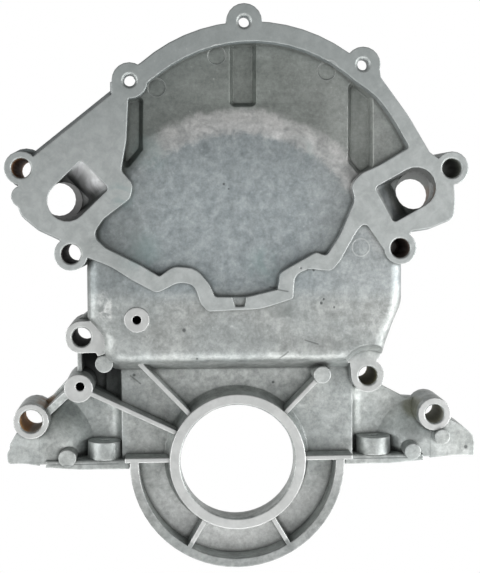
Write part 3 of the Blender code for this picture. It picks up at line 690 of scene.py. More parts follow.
def outer_skins():
    flange_back = PUMP_FACE - FLANGE_THICK
    pan = BELOW / MM
    left_end = ((-137.2, 17.2, 3), (-141.2, 10.4, 4), (-141.3, 7.6, 0), (-142.9, 4.6, 3), (-142.6, -1.7, 2),
                (-131, -1.9, 8))
    right_end = ((137.4, 20.8, 0), (145.2, 16.8, 14), (151.4, 11.2, 5), (152.5, 6.4, 4), (152.2, -1.9, 1),
                 (139, -1.6, 8))
    skins = [
        loft("case", dome_stations()),
        prism("tub", tub_outline(), POCKET_FLOOR - WALL, TUB_FRONT),
        drafted("left_wing_edge", ((-128.5, 181.3, 0), (-76.5, 222.6, 0), (-90, 190, 0), (-120, 172, 0)),
                flange_back, PUMP_FACE - 0.2 * MM, WING_DRAFT),
        prism("crank_case", rounded(
            (CRANK_LEFT / MM, 62, 3), (CRANK_RIGHT / MM, 62, 3), (CRANK_RIGHT / MM, pan, 0),
            (CRANK_LEFT / MM, pan, 0)), BEHIND, SEAL_FLOOR),
        wing("wing_left", rounded(
            (-99.5, 72, 0), (-99.5, 55.6, 4), (-117, 36.6, 0), (-127.5, 30, 0), *left_end,
            (-100, -5.4, 0), (-92, pan, 0), (-70, pan, 0), (-70, 72, 0)),
            ((-150, -5), (-150, 8.5), (-118, 8.5), (-104, 10), (-92, 12.2),
             *root_fillet(-81.5, 13.5, 1), (-71.2, 25), (-60, 25), (-60, -5))),
        wing("wing_right", rounded(
            (70, 60, 0), (86, 46.4, 0), (94.4, 41.7, 0), (116, 30.4, 0), (124.9, 30, 0), *right_end,
            (97, -5.6, 0), (90, pan, 0), (70, pan, 0)),
            ((156, -5), (156, 8.5), (117, 8.5), (104, 9.5), (94, 11),
             *root_fillet(83, 12.4, -1), (73, 25), (60, 25), (60, -5))),
        rise("left_rise", ((-80, -3.5), (-82, 22), (-104, 44), (-138, 20), (-138, -1.2)),
             ((-112, -3.5), (-114, 8), (-124, 14), (-138, 12), (-138, -1.2)), 29.9 * MM),
        rise("right_rise", ((84, -3.2), (86, 22), (112, 38), (142, 18), (142, -1.2)),
             ((114, -3.2), (116, 7), (128, 13), (142, 10), (142, -1.2)), 25.9 * MM),
    ]
    for side, front, x, depth in PAN_SIDES:
        inner_end = ((-123, 20, 4), (-127.5, 25, 0), *left_end, (-123, -3.4, 0))
        if x > 0:
            inner_end = ((124, 15, 4), (124.9, 26, 0), *right_end, (124, -3.2, 0))
        skins.append(drafted("end_" + side, inner_end, BEHIND, front - 2 * MM, END_BLOCK_DRAFT))
        skins += pan_rail(side, front, x, depth)
    return drafted("timing_cover", pump_face_corners(), flange_back, PUMP_FACE, DRAFT), skins


def housing():
    """The half round housing under the pan face, with its floor, wall and outer seal groove."""
    wide = HOUSING_RADIUS
    top = PAN_FLANGE_TOP
    half = turned(0, 0, wide, pi, 2 * pi, BIG_ARC)
    body = prism("housing", half + [Vector((wide, top)), Vector((-wide, top))],
                 SEAL_FLOOR - WALL, RIB_FACE)
    inner = turned(0, 0, wide - HOUSING_WALL, pi, 2 * pi, BIG_ARC)
    lift = Vector((0, 4 * MM))
    hollow = prism("housing_hollow", inner + [inner[-1] + lift, inner[0] + lift],
                   SEAL_FLOOR, RIB_FACE + OVERRUN)
    middle = (SEAL_FLOOR + RIB_FACE) / 2
    root, half_width = wide - SEAL_GROOVE_DEPTH, SEAL_GROOVE_WIDTH / 2
    groove = swept("pan_seal_groove", (
        (root, middle - half_width), (wide + OVERRUN, middle - half_width - MM),
        (wide + OVERRUN, middle + half_width + MM), (root, middle + half_width)),
        radians(186.5), radians(353.5), BIG_ARC)
    return body, hollow, groove


def flat_cuts():
    """What makes the block face and the oil pan face flat."""
    outside = [Vector((-REACH, -REACH)), Vector((REACH, -REACH)), Vector((REACH, 2 * REACH)),
               Vector((-REACH, 2 * REACH))]
    under = [Vector((-REACH, -REACH)), Vector((REACH, -REACH)), Vector((REACH, PAN_FACE)),
             Vector((-REACH, PAN_FACE))]
    block = prism("block_face_cut", outside, BEHIND - OVERRUN, 0)
    pan = prism("pan_face_cut", under, BEHIND - OVERRUN, PUMP_FACE + OVERRUN)
    return block, pan


def scroll():
    """The round step in the pump pocket."""
    return loft("scroll_step", (
        (circle(SCROLL_X, SCROLL_Z, SCROLL_RADIUS + SCROLL_SLOPE, BIG_ARC), POCKET_FLOOR - 2 * OVERRUN),
        (circle(SCROLL_X, SCROLL_Z, SCROLL_RADIUS + SCROLL_SLOPE, BIG_ARC), POCKET_FLOOR),
        (circle(SCROLL_X, SCROLL_Z, SCROLL_RADIUS, BIG_ARC), SCROLL_FACE),
        (circle(SCROLL_X, SCROLL_Z, SCROLL_RADIUS, BIG_ARC), SCROLL_FACE + OVERRUN)))


def recess_corners():
    """Corners of the three recesses in the floor of the pump pocket."""
    return {
        "left_recess": ((-64.6, 220.4, 1), (-58.6, 221.6, 1), (-59.2, 193, 1), (-67.6, 183, 1)),
        "top_recess": ((-1.6, 254.6, 1), (10, 254.6, 1), (9.8, 220, 1), (-1.8, 220, 1)),
        "right_recess": ((70.6, 231.0, 1), (81.2, 222.4, 1), (81.4, 182, 1), (76.2, 178.6, 1),
                         (70.4, 185.6, 1)),
    }


def hollows():
    """What is cut from the skins: the pump pocket, and the chain case from behind."""
    pocket = pocket_outline()
    deep = prism("pocket_deep", pocket, POCKET_FLOOR, PUMP_FACE + OVERRUN)
    combine(deep, "DIFFERENCE", "scroll", [scroll()])
    level = prism("pocket_level", pocket, SCROLL_FACE, PUMP_FACE + OVERRUN)
    inside = case_outline(-RIM)
    shoulder, roof = PAD_FLOOR - WALL, SCROLL_FACE - WALL
    upper = loft("case_hollow", (
        (inside, -OVERRUN), (inside, SEAL_FLOOR), (leaning(inside, foot_height(shoulder, RIM)), shoulder),
        (leaning(case_outline(-RIM - ROOF_SLOPE), foot_height(roof, RIM + ROOF_SLOPE)), roof)))
    foot = rounded((-75.5, 62, 6), (80, 62, 6), (88, 80, 12), (94, 97, 6), (60, 97, 4), (36, 90, 8),
                   (-24, 89, 8), (-46, 99, 6), (-84, 99, 4), (-82, 89, 4), (-75.5, 79, 6))
    front = DOME_FACE - WALL
    lower = loft("foot_hollow", (
        (foot, -OVERRUN), (foot, SEAL_FLOOR), (leaning(foot, foot_height(shoulder, RIM)), shoulder),
        (leaning(foot, foot_height(front, RIM)), front)))
    crank = prism("crank_hollow", rounded(
        ((CRANK_LEFT + RIM) / MM, 66, 3), ((CRANK_RIGHT - RIM) / MM, 66, 3),
        ((CRANK_RIGHT - RIM) / MM, -80, 0), ((CRANK_LEFT + RIM) / MM, -80, 0)),
        -OVERRUN, SEAL_FLOOR - WALL)
    corner = prism("corner_pocket", rounded(
        (-96.2, 71, 0), (-84.6, 71, 0), (-84.6, 56, 0), (-82, 54, 0), (-82, 38.5, 0), (-96.2, 44, 3)),
        BLOCK_FLANGE, PUMP_FACE)
    wings = [prism("wing_hollow_left", rounded((-98, 34, 3), (-78, 27, 3), (-78, 4, 3), (-98, 4, 3)),
                   -OVERRUN, WING_HOLLOW),
             prism("wing_hollow_right", rounded((82, 38, 3), (104, 27, 3), (104, 4, 3), (82, 4, 3)),
                   -OVERRUN, WING_HOLLOW)]
    return [deep, level, upper, lower, crank] + wings, corner


def inner_features():
    """Bosses, ribs and rings that stand in or on the hollowed shell."""
    made = []
    for name, x, z, radius, _, _, front in LONG_BOSSES:
        made.append(stud(name, x * MM, z * MM, radius * MM, BEHIND, front * MM, 0.5 * MM))
    name, x, z = LONG_BOSSES[0][:3]
    made.append(stud(name + "_foot", x * MM + EAR_FOOT_SHIFT, z * MM, EAR_FOOT, BEHIND,
                     PUMP_FACE - FLANGE_THICK))
    for name, bearing, inside, radius, _ in PLATE_BOSSES:
        x, z = on_arch(bearing, inside)
        made.append(stud(name, x, z, radius, PUMP_FACE - FLANGE_THICK, PUMP_FACE))
    made.append(stud("ear_bump", -128.1 * MM, 163.6 * MM, 6.5 * MM, PUMP_FACE - FLANGE_THICK, PUMP_FACE))
    made.append(drafted("case_left_shoulder", (
        (-94.8, 88.4, 0), (-86.4, 88.6, 5), (-82.6, 80.6, 4), (-74, 80, 0), (-74, 69.6, 0),
        (-81.0, 68.2, 2), (-85.2, 67.0, 0), (-86.1, 69.0, 0), (-96, 69.0, 0)), BEHIND, 46 * MM, 0.4 * MM))
    made.append(drafted("case_right_shoulder", (
        (71.2, 50, 0), (70.2, 61, 1), (66, 63, 0), (66, 72, 6), (84, 78, 10), (92, 76, 4), (88.6, 68, 1),
        (87, 60.5, 2), (91.4, 53, 0)), BEHIND, 40 * MM, 0.4 * MM))
    made.append(prism("relief_backing", rounded((66, 63, 0), (66, 77, 6), (86, 79, 6), (88, 72, 2),
                                                (84, 64, 2)), SEAL_FLOOR, DOME_FACE - WALL + MM))
    made.append(prism("case_gusset", rounded((-89, 94.6, 0), (-97.8, 88, 1), (-94, 82, 0), (-86, 84, 0)),
                      BEHIND, TIE_WALL_FRONT))
    made.append(stud("pointer_boss", POINTER_X, POINTER_Z, POINTER_RADIUS, BEHIND, RIB_FACE, 0.5 * MM))
    made.append(stud("tapped_boss", TAPPED_X, TAPPED_Z, TAPPED_RADIUS, DOME_FACE - TAPPED_DEPTH - WALL,
                     DOME_FACE + 0.4 * MM))
    for i, (x, z, radius, front) in enumerate(EJECTOR_PADS):
        back = SEAL_FLOOR - MM if abs(x) < 70 else BEHIND
        made.append(stud(f"ejector_pad_{i + 1}", x * MM, z * MM, radius * MM, back, front * MM))
    made.append(bar("tie_wall", (-97.4, 74), (-97.4, 50), 2.6 * MM, BEHIND, TIE_WALL_FRONT))
    made.append(bar("pointer_web", (-98, 48.8), (-122, 26), WEB_THICK, BEHIND, RIB_FACE - 2 * MM,
                    LONG_BOSSES[6][-1] * MM - WEB_DROP))
    root = SEAL_FLOOR - 3 * MM
    made.append(bar("pointer_rib", (-95, 45.7), (-70, 33.7), RIB_THICK, BEHIND, RIB_FACE))
    ribs = (((-73, 35.2), (-36, 17.4)), ((-60.2, 61.6), (-28, 28.0)), ((52.4, 53.4), (28, 28.2)),
            ((-69.5, 1.4), (-40, 1.4)), ((71.5, 1.4), (40, 1.4)), ((-20, -36), (-31.4, -55.6)),
            ((21.6, -36), (33.0, -55.0)))
    for i, (start, end) in enumerate(ribs):
        made.append(bar(f"rib_{i + 1}", start, end, RIB_THICK, root, RIB_FACE))
    wide = RING_RADIUS + RING_FLARE
    made.append(turning("seal_ring", 0, 0, (
        (wide, SEAL_FLOOR - WALL), (wide, SEAL_FLOOR), (RING_RADIUS + 0.35 * RING_FLARE, SEAL_FLOOR + 4 * MM),
        (RING_RADIUS, SEAL_FACE)), BIG_ARC))
    for name, corners in recess_corners().items():
        made.append(prism(name + "_back", rounded(*corners, grow=WALL + MM), PAD_FLOOR - WALL + MM,
                          POCKET_FLOOR - MM))
    return made


def holes():
    """Everything that is bored, cored or cut last."""
    made = []
    front = PUMP_FACE + OVERRUN
    for name, x, z, _, hole, rear, face in LONG_BOSSES:
        hole, rear, face = hole * MM, rear * MM, face * MM
        step = [(hole, -OVERRUN)]
        if rear < hole:
            step = [(rear, -OVERRUN), (rear, STEP_DEPTH), (hole, STEP_DEPTH)]
        made.append(turning(name + "_hole", x * MM, z * MM, step + [
            (hole, face - MOUTH), (hole + MOUTH, face), (hole + MOUTH, front)]))
    for name, bearing, inside, _, hole in PLATE_BOSSES:
        x, z = on_arch(bearing, inside)
        made.append(turning(name + "_hole", x, z, (
            (hole, PUMP_FACE - 2 * FLANGE_THICK), (hole, PUMP_FACE - 2 * MOUTH),
            (hole + 2 * MOUTH, PUMP_FACE), (hole + 2 * MOUTH, front))))
    pointer = Vector((POINTER_X, POINTER_Z)) + POINTER_HOLE_SHIFT
    made.append(stud("pointer_hole", pointer.x, pointer.y, POINTER_HOLE, RIB_FACE - POINTER_DEPTH, front))
    made.append(stud("tapped_hole", TAPPED_X, TAPPED_Z, TAPPED_HOLE, DOME_FACE - TAPPED_DEPTH, front))
    made.append(turning("seal_bore", 0, 0, (
        (SEAL_RELIEF, SEAL_FLOOR - 2 * WALL), (SEAL_RELIEF, SEAL_FACE - SEAL_DEPTH),
        (SEAL_BORE, SEAL_FACE - SEAL_DEPTH), (SEAL_BORE, SEAL_FACE - MOUTH),
        (SEAL_BORE + MOUTH, SEAL_FACE), (SEAL_BORE + MOUTH, front)), BIG_ARC))
    for side, _, x, depth in PAN_SIDES:
        bore = circle(x, depth, PAN_HOLE)
        made.append(upright("pan_hole_" + side, bore, bore, PAN_FACE - OVERRUN, PAN_BOSS_TOP + OVERRUN))
    for name, corners in recess_corners().items():
        recess = drafted(name, corners, POCKET_FLOOR + 2 * MM, PAD_FLOOR, RECESS_DRAFT)
        limit = prism(name + "_limit", pocket_outline(), PAD_FLOOR - MM, PUMP_FACE)
        made.append(combine(recess, "INTERSECT", name + "_inside", [limit]))
    face = LONG_BOSSES[5][-1] * MM
    made.append(turning("case_right_relief", RELIEF_X, RELIEF_Z, (
        (RELIEF, face), (RELIEF + 0.7 * MM, face + 3 * MM), (RELIEF + RELIEF_FLARE, DOME_FACE),
        (RELIEF + RELIEF_FLARE, front))))
    for i, (x, z, radius) in enumerate(EJECTOR_MARKS):
        made.append(stud(f"ejector_mark_{i + 1}", x * MM, z * MM, radius * MM,
                         POCKET_FLOOR - MARK_DEPTH, POCKET_FLOOR + OVERRUN))
    made.append(loft("rail_notch", (
        (rounded((-3.0, 104, 0), (4.6, 104, 0), (3.6, 97.4, 1), (-1.4, 97.4, 1)), DOME_FACE - 0.4 * MM),
        (rounded((-4.6, 104, 0), (5.4, 104, 0), (4.2, 96.4, 1), (-2.2, 96.4, 1)), PUMP_FACE + MM))))
    return made


def shape_of(built):
    """The mesh that an object's modifiers make, with its helpers removed."""
    graph = bpy.context.evaluated_depsgraph_get()
    mesh = bpy.data.meshes.new_from_object(built.evaluated_get(graph))
    for group in list(bpy.data.collections):
        if group.name in HELPER_GROUPS:
            for helper in list(group.objects):
                bpy.data.objects.remove(helper)
            bpy.data.collections.remove(group)
    bpy.data.objects.remove(built)
    return mesh


def casting():
    """The whole casting, built as its mould makes it, and shaded smooth across round surfaces."""
    cover, skins = outer_skins()
    housing_body, housing_hollow, groove = housing()
    left_tower, left_trough, left_passage = port_parts("left_port", LEFT_PORT)
    right_tower, right_trough, right_passage = port_parts("right_port", RIGHT_PORT)
    cut, corner = hollows()
    block_cut, pan_cut = flat_cuts()
    combine(cover, "UNION", "skins", skins, "EXACT")
    combine(cover, "DIFFERENCE", "pan_face", [pan_cut])
    combine(cover, "UNION", "seal_housing", [housing_body])
    combine(cover, "DIFFERENCE", "hollows", cut + [corner, housing_hollow, groove])
    combine(cover, "UNION", "features", [left_tower, right_tower] + inner_features())
    openings = [left_trough, left_passage, right_trough, right_passage] + holes()
    combine(cover, "DIFFERENCE", "openings", openings)
    combine(cover, "DIFFERENCE", "block_face", [block_cut])
    mesh = shape_of(cover)
    mesh.shade_smooth()
    mesh.set_sharp_from_angle(angle=radians(30))
    mesh.materials.clear()
    mesh.materials.append(casting_material())
    piece = bpy.data.objects.new("casting", mesh)
    bpy.context.scene.collection.objects.link(piece)
    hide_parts("timing_cover")
    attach(piece, "root")


# Marks on the casting, in millimetres as seen from the front

# Bores: x, z, radius, front depth, and the colour inside, which is a stain in some and painted shade, near
# black, in the others
BORES = (
    (-128.5, 180.4, 6.2, 54, (0.22, 0.11, 0.04)),
    (-99.8, 129.3, 6.2, 54, (0.016, 0.006, 0.007)),
    (129.9, 179.8, 6.2, 54, (0.11, 0.12, 0.1)),
    (98.6, 131.7, 6.3, 54, (0.09, 0.06, 0.045)),
    (-94.8, 78.6, 6.1, 46, (0.01, 0.007, 0.006)),
    (81.4, 52.0, 6.2, 40, (0.15, 0.14, 0.085)),
    (124.9, 26.3, 6.3, 34, (0.3, 0.31, 0.26)),
    (-127.5, 25.3, 7.4, 34, (0.36, 0.35, 0.33)),
    (-61.1, 89.3, 3.0, 52, (0.01, 0.01, 0.01)),
    (-96.4, 47.8, 3.1, 42, (0.01, 0.01, 0.01)),
)
# Small pits: x, z, radius
PITS = (
    (58.4, 96, 0.9), (38, 120, 0.9), (42, 119, 0.8), (45.9, 118.7, 1.1), (-32.7, 82.9, 1.6),
    (-25, 65, 1.0), (23.3, 46.9, 1.1), (-63.9, 52.5, 1.3), (146.8, 3.5, 1.6), (52, 101, 1.0),
    (50.5, 98.6, 1.3), (-8, 171, 1.0), (-5, 168, 0.7),
)
# Scratches: x and z at both ends, and how wide they all are
SCRATCHES = ((40.7, 76.1, 48.6, 73.5), (25.6, 65, 30.3, 68.9), (-66, 52, -60, 47), (20, 108, 30, 106))
SCRATCH = 0.7
# Marks of ejector pins: x, z, radius
PIN_RINGS = ((74.6, 132.3, 5.3), (-11.8, 248.2, 5.3), (-48.1, 229, 5.3), (55, 239.1, 5.3))
# Teal and dark stains: x, z, inner and outer radius
TEAL_STAINS = ((17, 122, 4, 15), (-70, 164, 3, 11), (-52, 190, 4, 16), (38, 190, 3, 13), (-58, 130, 4, 18))
DARK_STAINS = ((68.2, 79, 3, 9), (60, 74, 1, 7), (28, 93, 3, 12), (-74, 139, 6, 26), (52, 99, 1, 6))
# The shelf around the hole of the left port, in deeper painted shade: x, z, inner and outer radius
LEDGE = (-108.5, 161.5, 14, 20)


# The casting's colours, in linear light

# Surfaces, each as its darker and its lighter tone
CAST = ((0.335, 0.352, 0.342), (0.43, 0.447, 0.437))
PLATEAU = ((0.262, 0.295, 0.305), (0.315, 0.345, 0.352))
UPPER_FLOOR = ((0.165, 0.18, 0.168), (0.225, 0.242, 0.228))
# The painted highlight on the scroll step's slope
SCROLL_HIGHLIGHT = ((0.39, 0.395, 0.39), (0.55, 0.548, 0.54))
GASKET_FACE = ((0.345, 0.366, 0.361), (0.41, 0.43, 0.426))
MACHINED = ((0.445, 0.455, 0.448), (0.525, 0.535, 0.527))
SCOOP = ((0.5, 0.51, 0.51), (0.8, 0.81, 0.82))
# Walls of the right port, in mottled painted shade
PORT_WALL_SHADE = ((0.06, 0.07, 0.07), (0.24, 0.25, 0.25))

# Tones laid over them
SKIN_SHEEN = (0.33, 0.36, 0.36)
STREAK = (0.2, 0.225, 0.22)
# Stains and painted shade at the left of the plateau, and painted light at its right
PLATEAU_LEFT_SHADE, PLATEAU_RIGHT_LIGHT = (0.165, 0.178, 0.175), (0.40, 0.41, 0.40)
# Stains and painted shade at the left of the upper floor, and painted light at its right
FLOOR_LEFT_SHADE, FLOOR_RIGHT_LIGHT = (0.12, 0.13, 0.12), (0.40, 0.415, 0.40)
# Swirls of the machined face, and painted shade at its top
GASKET_SWIRL, GASKET_TOP_SHADE = (0.49, 0.51, 0.505), (0.24, 0.265, 0.262)
RECESS = (0.19, 0.205, 0.19)
HOUSING_FLOOR = (0.66, 0.67, 0.66)
# Painted shade on the left side of the chain case
FLANK_SHADE = (0.19, 0.2, 0.195)
PARTING = (0.09, 0.1, 0.1)
# Painted highlight on the rounded left edge of the dome
DOME_EDGE_HIGHLIGHT = (0.68, 0.69, 0.68)
SPECKS = (0.72, 0.72, 0.7)
TEAL = (0.22, 0.30, 0.295)
DARK_STAIN = (0.15, 0.165, 0.16)
HAIRLINE = (0.16, 0.17, 0.17)
PIT = (0.06, 0.065, 0.065)
PIN_RING = (0.6, 0.61, 0.6)
SHADED = (0.18, 0.2, 0.2)
# Painted shade, with dirt, in the corners
CORNER_SHADE_AND_GRIME = (0.05, 0.055, 0.05)
# Painted shadow in the deep corner pocket
POCKET_SHADOW = (0.012, 0.014, 0.014)
# Painted shade inside the water ports
LEFT_PORT_SHADE = (0.035, 0.037, 0.034)
FAR_WALL_SHADE = (0.10, 0.115, 0.105)
PORT_BROWN = (0.115, 0.058, 0.02)
ORANGE_RUST, RUST, BROWN = (0.4, 0.2, 0.06), (0.3, 0.12, 0.04), (0.24, 0.12, 0.04)
OLIVE_DIRT = (0.16, 0.155, 0.085)


# The casting's surfaces

class Skin:
    """The casting's surface: where a point lies in millimetres, how it faces, and its patterns."""

    def __init__(self, nodes):
        n = self.nodes = nodes
        place = n.node("ShaderNodeTexCoord", {}, "Object")
        x, y, z = n.split(place)
        self.across, self.depth, self.height = x * 1000.0, y * -1000.0, z * 1000.0
        self.facing = n.split(n.node("ShaderNodeNewGeometry", {}, "True Normal"))[1] * -1.0
        self.square = n.ramp(self.facing, 0.97, 0.995)
        self.shown = n.ramp(self.facing, 0.6, 0.8)
        self.grain = n.noise(place, 1100, 3, 0.65)
        self.speckle = n.noise(place, 420, 4, 0.75)
        self.mottle = n.noise(place, 130, 5, 0.65, 0.4)
        self.broad = n.noise(place, 26, 3, 0.5)
        self.patches = n.noise(place, 55, 4, 0.6, 1.2)
        self.upright_streaks = n.noise(n.combine(x * 240.0, y * 30.0, z * 22.0), 1.0, 4, 0.6)
        self.flat_streaks = n.noise(n.combine(x * 34.0, y * 30.0, z * 120.0), 1.0, 5, 0.65, 0.3)
        self.swirls = n.noise(n.combine((x + z) * 60.0, y * 60.0, (z - x) * 420.0), 1.0, 3, 0.6, 0.8)
        self.mark_machined_faces()
        self.mark_regions()

    def apart(self, spot_x, spot_z):
        """How far a point is from a place seen from the front."""
        return self.nodes.length(self.across - spot_x, self.height - spot_z)

    def near(self, spot_x, spot_z, inner, outer):
        """1 within the inner radius of a place seen from the front, 0 beyond the outer one."""
        return self.nodes.ramp(self.apart(spot_x, spot_z), outer, inner)

    def level(self, at):
        """1 on a front at one depth."""
        return self.nodes.ramp(abs(self.depth - at), 0.35, 0.1)

    def toned(self, pattern, low, high, tones):
        """The darker tone where a pattern is low, and the lighter one where it is high."""
        return self.nodes.mix(self.nodes.ramp(pattern, low, high), *tones)

    def along_line(self, x0, z0, x1, z1, wide):
        """1 on a line between two places, 0 beyond its width."""
        run_x, run_z = x1 - x0, z1 - z0
        from_x, from_z = self.across - x0, self.height - z0
        share = ((from_x * run_x + from_z * run_z) * (1 / (run_x ** 2 + run_z ** 2))).limited()
        off = self.nodes.length(from_x - share * run_x, from_z - share * run_z)
        return self.nodes.ramp(off, wide, wide * 0.3)

    def from_port(self, port):
        """How far a point is from the centre of a port's mouth, along the mouth and aside of it."""
        from_x, from_z = self.across - port[0], self.height - port[1]
        run_x, run_z = cos(radians(port[4])), sin(radians(port[4]))
        return from_x * run_x + from_z * run_z, from_z * run_x - from_x * run_z

    def inside_port(self, port):
        """1 on the walls of a water port's passage and mouth, 0 on the outside of its tower."""
        ramp = self.nodes.ramp
        x0, z0, half, length, _, rear_x, rear_z, rear = port
        share = (self.depth * (1 / 30)).limited()
        off_x = self.across - rear_x - share * (x0 - rear_x)
        off_z = self.height - rear_z - share * (z0 - rear_z)
        passage = ramp(self.nodes.length(off_x, off_z), rear + 3.4, rear + 2.2)
        along, aside = self.from_port(port)
        mouth = ramp(abs(aside), half + 2, half + 1) * ramp(along, length + 2, length + 1)
        mouth = mouth * (ramp(along, -0.5, 0.5) + self.near(x0, z0, half + 1, half + 2)).limited()
        walls = (passage * ramp(self.depth, 37, 35) + mouth * ramp(self.depth, 30, 32)).limited()
        return walls * ramp(self.depth, 53.7, 53.2)

    def mark_machined_faces(self):
        """Finds the pump face, and the fronts of the ring, the ribs and the lower bosses."""
        ramp, level, near = self.nodes.ramp, self.level, self.near
        depth, height = self.depth, self.height
        self.pump_face = self.square * ramp(depth, 53.6, 53.9)
        self.from_axis = self.nodes.length(self.across, height)
        self.rim = ramp(self.from_axis, 57, 59)
        pads = sum(near(x, z, 5.6, 6.2) for x, z, _, _ in EJECTOR_PADS[:2])
        fronts = (level(44) + level(42) + level(40) * 0.75 + level(34)).limited() * ramp(height, 66, 60)
        fronts = fronts * (1.0 - self.rim * level(42) * ramp(height, 10, -30) * 0.95)
        case_boss = level(46) * near(*LONG_BOSSES[4][1:3], 14.5, 16.5)
        tapped = ramp(depth, 52.2, 52.35) * near(TAPPED_X / MM, TAPPED_Z / MM, 8, 9)
        self.machined = (self.square * (fronts + case_boss + tapped - pads * 0.8)).limited()

    def mark_regions(self):
        """Finds the regions of the casting's own skin."""
        ramp, depth, height = self.nodes.ramp, self.depth, self.height
        self.pocket = ramp(depth, 36, 38) * ramp(depth, 53.2, 52.6) * ramp(height, 96, 110)
        self.upper_floor = ramp(depth, 46, 44.2) * self.pocket
        self.recess = ramp(depth, 40.4, 39) * self.pocket
        dome = ramp(depth, 46, 49) * ramp(depth, 53.4, 52.6) * ramp(height, 62, 70)
        self.dome = dome * (1.0 - self.pocket)
        floor = ramp(self.from_axis, 61.5, 60.5) * ramp(depth, 30, 28)
        self.housing_floor = floor * ramp(height, 4, 0)
        self.wings = ramp(abs(self.across), 73, 76) * ramp(height, 56, 40) * ramp(depth, 31, 28)


def plateau_colour(skin):
    """The round step in the pump pocket: streaked, darker at the left with stains and painted shade, and
    paler at the right with painted light.
    """
    n, across = skin.nodes, skin.across
    streaked = n.ramp(skin.upright_streaks, 0.5, 0.75) * n.ramp(across, -20, -60)
    return n.tinted(
        skin.toned(skin.mottle, 0.3, 0.7, PLATEAU),
        (streaked * 0.45, STREAK),
        (n.ramp(across, -38, -82) * 0.5, PLATEAU_LEFT_SHADE),
        (n.ramp(across, 30, 75) * 0.35, PLATEAU_RIGHT_LIGHT))


def upper_floor_colour(skin):
    """The deeper floor over the step: greenish, darker at the left with stains and painted shade, and paler
    at the right with painted light.
    """
    n, across = skin.nodes, skin.across
    return n.tinted(
        skin.toned(skin.flat_streaks, 0.3, 0.72, UPPER_FLOOR),
        (n.ramp(across, 10, -60) * 0.35, FLOOR_LEFT_SHADE),
        (n.ramp(across, 15, 95) * 0.6, FLOOR_RIGHT_LIGHT))


def gasket_colour(skin):
    """The machined pump face, with faint swirls, and painted shade towards its top."""
    n = skin.nodes
    return n.tinted(
        skin.toned(skin.mottle, 0.3, 0.7, GASKET_FACE),
        (n.ramp(skin.swirls, 0.55, 0.8) * 0.3, GASKET_SWIRL),
        (n.ramp(skin.height, 185, 245) * 0.5, GASKET_TOP_SHADE))


def clean_colour(skin):
    """The cast skin and the machined faces, before any small mark, with painted light on the wings, the
    dome's left edge and the scroll step, and painted shade on the left side of the case.
    """
    n, ramp, between = skin.nodes, skin.nodes.ramp, skin.nodes.between
    across, depth, height, mottle = skin.across, skin.depth, skin.height, skin.mottle
    cast = n.tinted(skin.toned(mottle, 0.3, 0.7, CAST), (ramp(skin.broad, 0.42, 0.62) * 0.4, SKIN_SHEEN))
    scroll = skin.apart(SCROLL_X / MM, SCROLL_Z / MM) + (mottle - 0.5) * 12.0
    # Painted highlight on the upper part of the scroll step's slope, ragged at its edge.
    scroll_highlight = between(scroll, 85, 93, 6) * skin.pocket * ramp(height, 120, 150) * ramp(across, -66, -40)
    # Painted light: a lighter copy of the cast skin on the lower wings, fading towards their front.
    painted_wing_light = skin.wings * ramp(depth, 40, 16) * (ramp(across, -60, 60) * 0.25 + 0.42)
    # Painted shade on the left side of the chain case, where it turns away from the front.
    shaded_flank = ramp(across, -83, -87) * between(height, 74, 136, 5) * ramp(skin.facing, 0.9, 0.5)
    rim_front = skin.rim * ramp(height, 0, -6) * ramp(depth, 40, 41.5)
    parting = between(height, -2.7, -2.2, 0.25) * ramp(abs(across), 73, 75) * ramp(depth, 25, 26.5)
    # Painted highlight, in spots, on the rounded left edge of the dome.
    dome_edge_highlight = between(across, -83, -77, 2) * between(height, 92, 118, 5) * ramp(mottle, 0.42, 0.6)
    return n.tinted(
        cast,
        (skin.dome, n.scaled(cast, 0.86)),
        (skin.pocket, plateau_colour(skin)),
        (skin.upper_floor, upper_floor_colour(skin)),
        (scroll_highlight * 0.85, skin.toned(skin.patches, 0.35, 0.62, SCROLL_HIGHLIGHT)),
        (skin.recess * 0.55, RECESS),
        (skin.housing_floor * ramp(height, 5, -56) * 0.85, HOUSING_FLOOR),
        (painted_wing_light, n.scaled(cast, 1.35)),
        (shaded_flank * 0.6, FLANK_SHADE),
        (rim_front, n.scaled(cast, 0.72)),
        (parting * ramp(abs(across), 122, 112) * 0.6, PARTING),
        (dome_edge_highlight * skin.dome * 0.6, DOME_EDGE_HIGHLIGHT),
        (skin.pump_face, gasket_colour(skin)),
        (skin.machined, skin.toned(mottle, 0.3, 0.7, MACHINED)))


def uneven(skin, colour):
    """The colour with its fine unevenness, light specks and stains."""
    n, ramp = skin.nodes, skin.nodes.ramp
    rough_skin = (1.0 - skin.machined) * (1.0 - skin.pump_face * 0.75)
    uneven_tone = (skin.speckle - 0.5) * 0.9 + (skin.mottle - 0.5) * 0.7 + (skin.patches - 0.5) * 0.3
    colour = n.scaled(colour, 1.0 + uneven_tone * rough_skin)
    specks = ramp(skin.speckle, 0.66, 0.74) * (1.0 - skin.machined)
    teal = ramp(skin.patches, 0.38, 0.6) * 0.45
    dark = ramp(skin.patches, 0.36, 0.56) * ramp(skin.depth, 40, 44) * 0.4
    return n.tinted(
        colour,
        (specks * 0.3, SPECKS),
        *((skin.near(*stain) * teal, TEAL) for stain in TEAL_STAINS),
        *((skin.near(*stain) * dark, DARK_STAIN) for stain in DARK_STAINS))


def shaded_and_grimy(skin, colour, corners):
    """The colour with painted shade towards the upper left, and painted shade with dirt in the corners."""
    n = skin.nodes
    shade = n.ramp(skin.height * 0.7 - skin.across, 130, 280) * n.ramp(skin.height, 100, 200)
    return n.tinted(colour, (shade * 0.3, SHADED), (corners * 0.78, CORNER_SHADE_AND_GRIME))


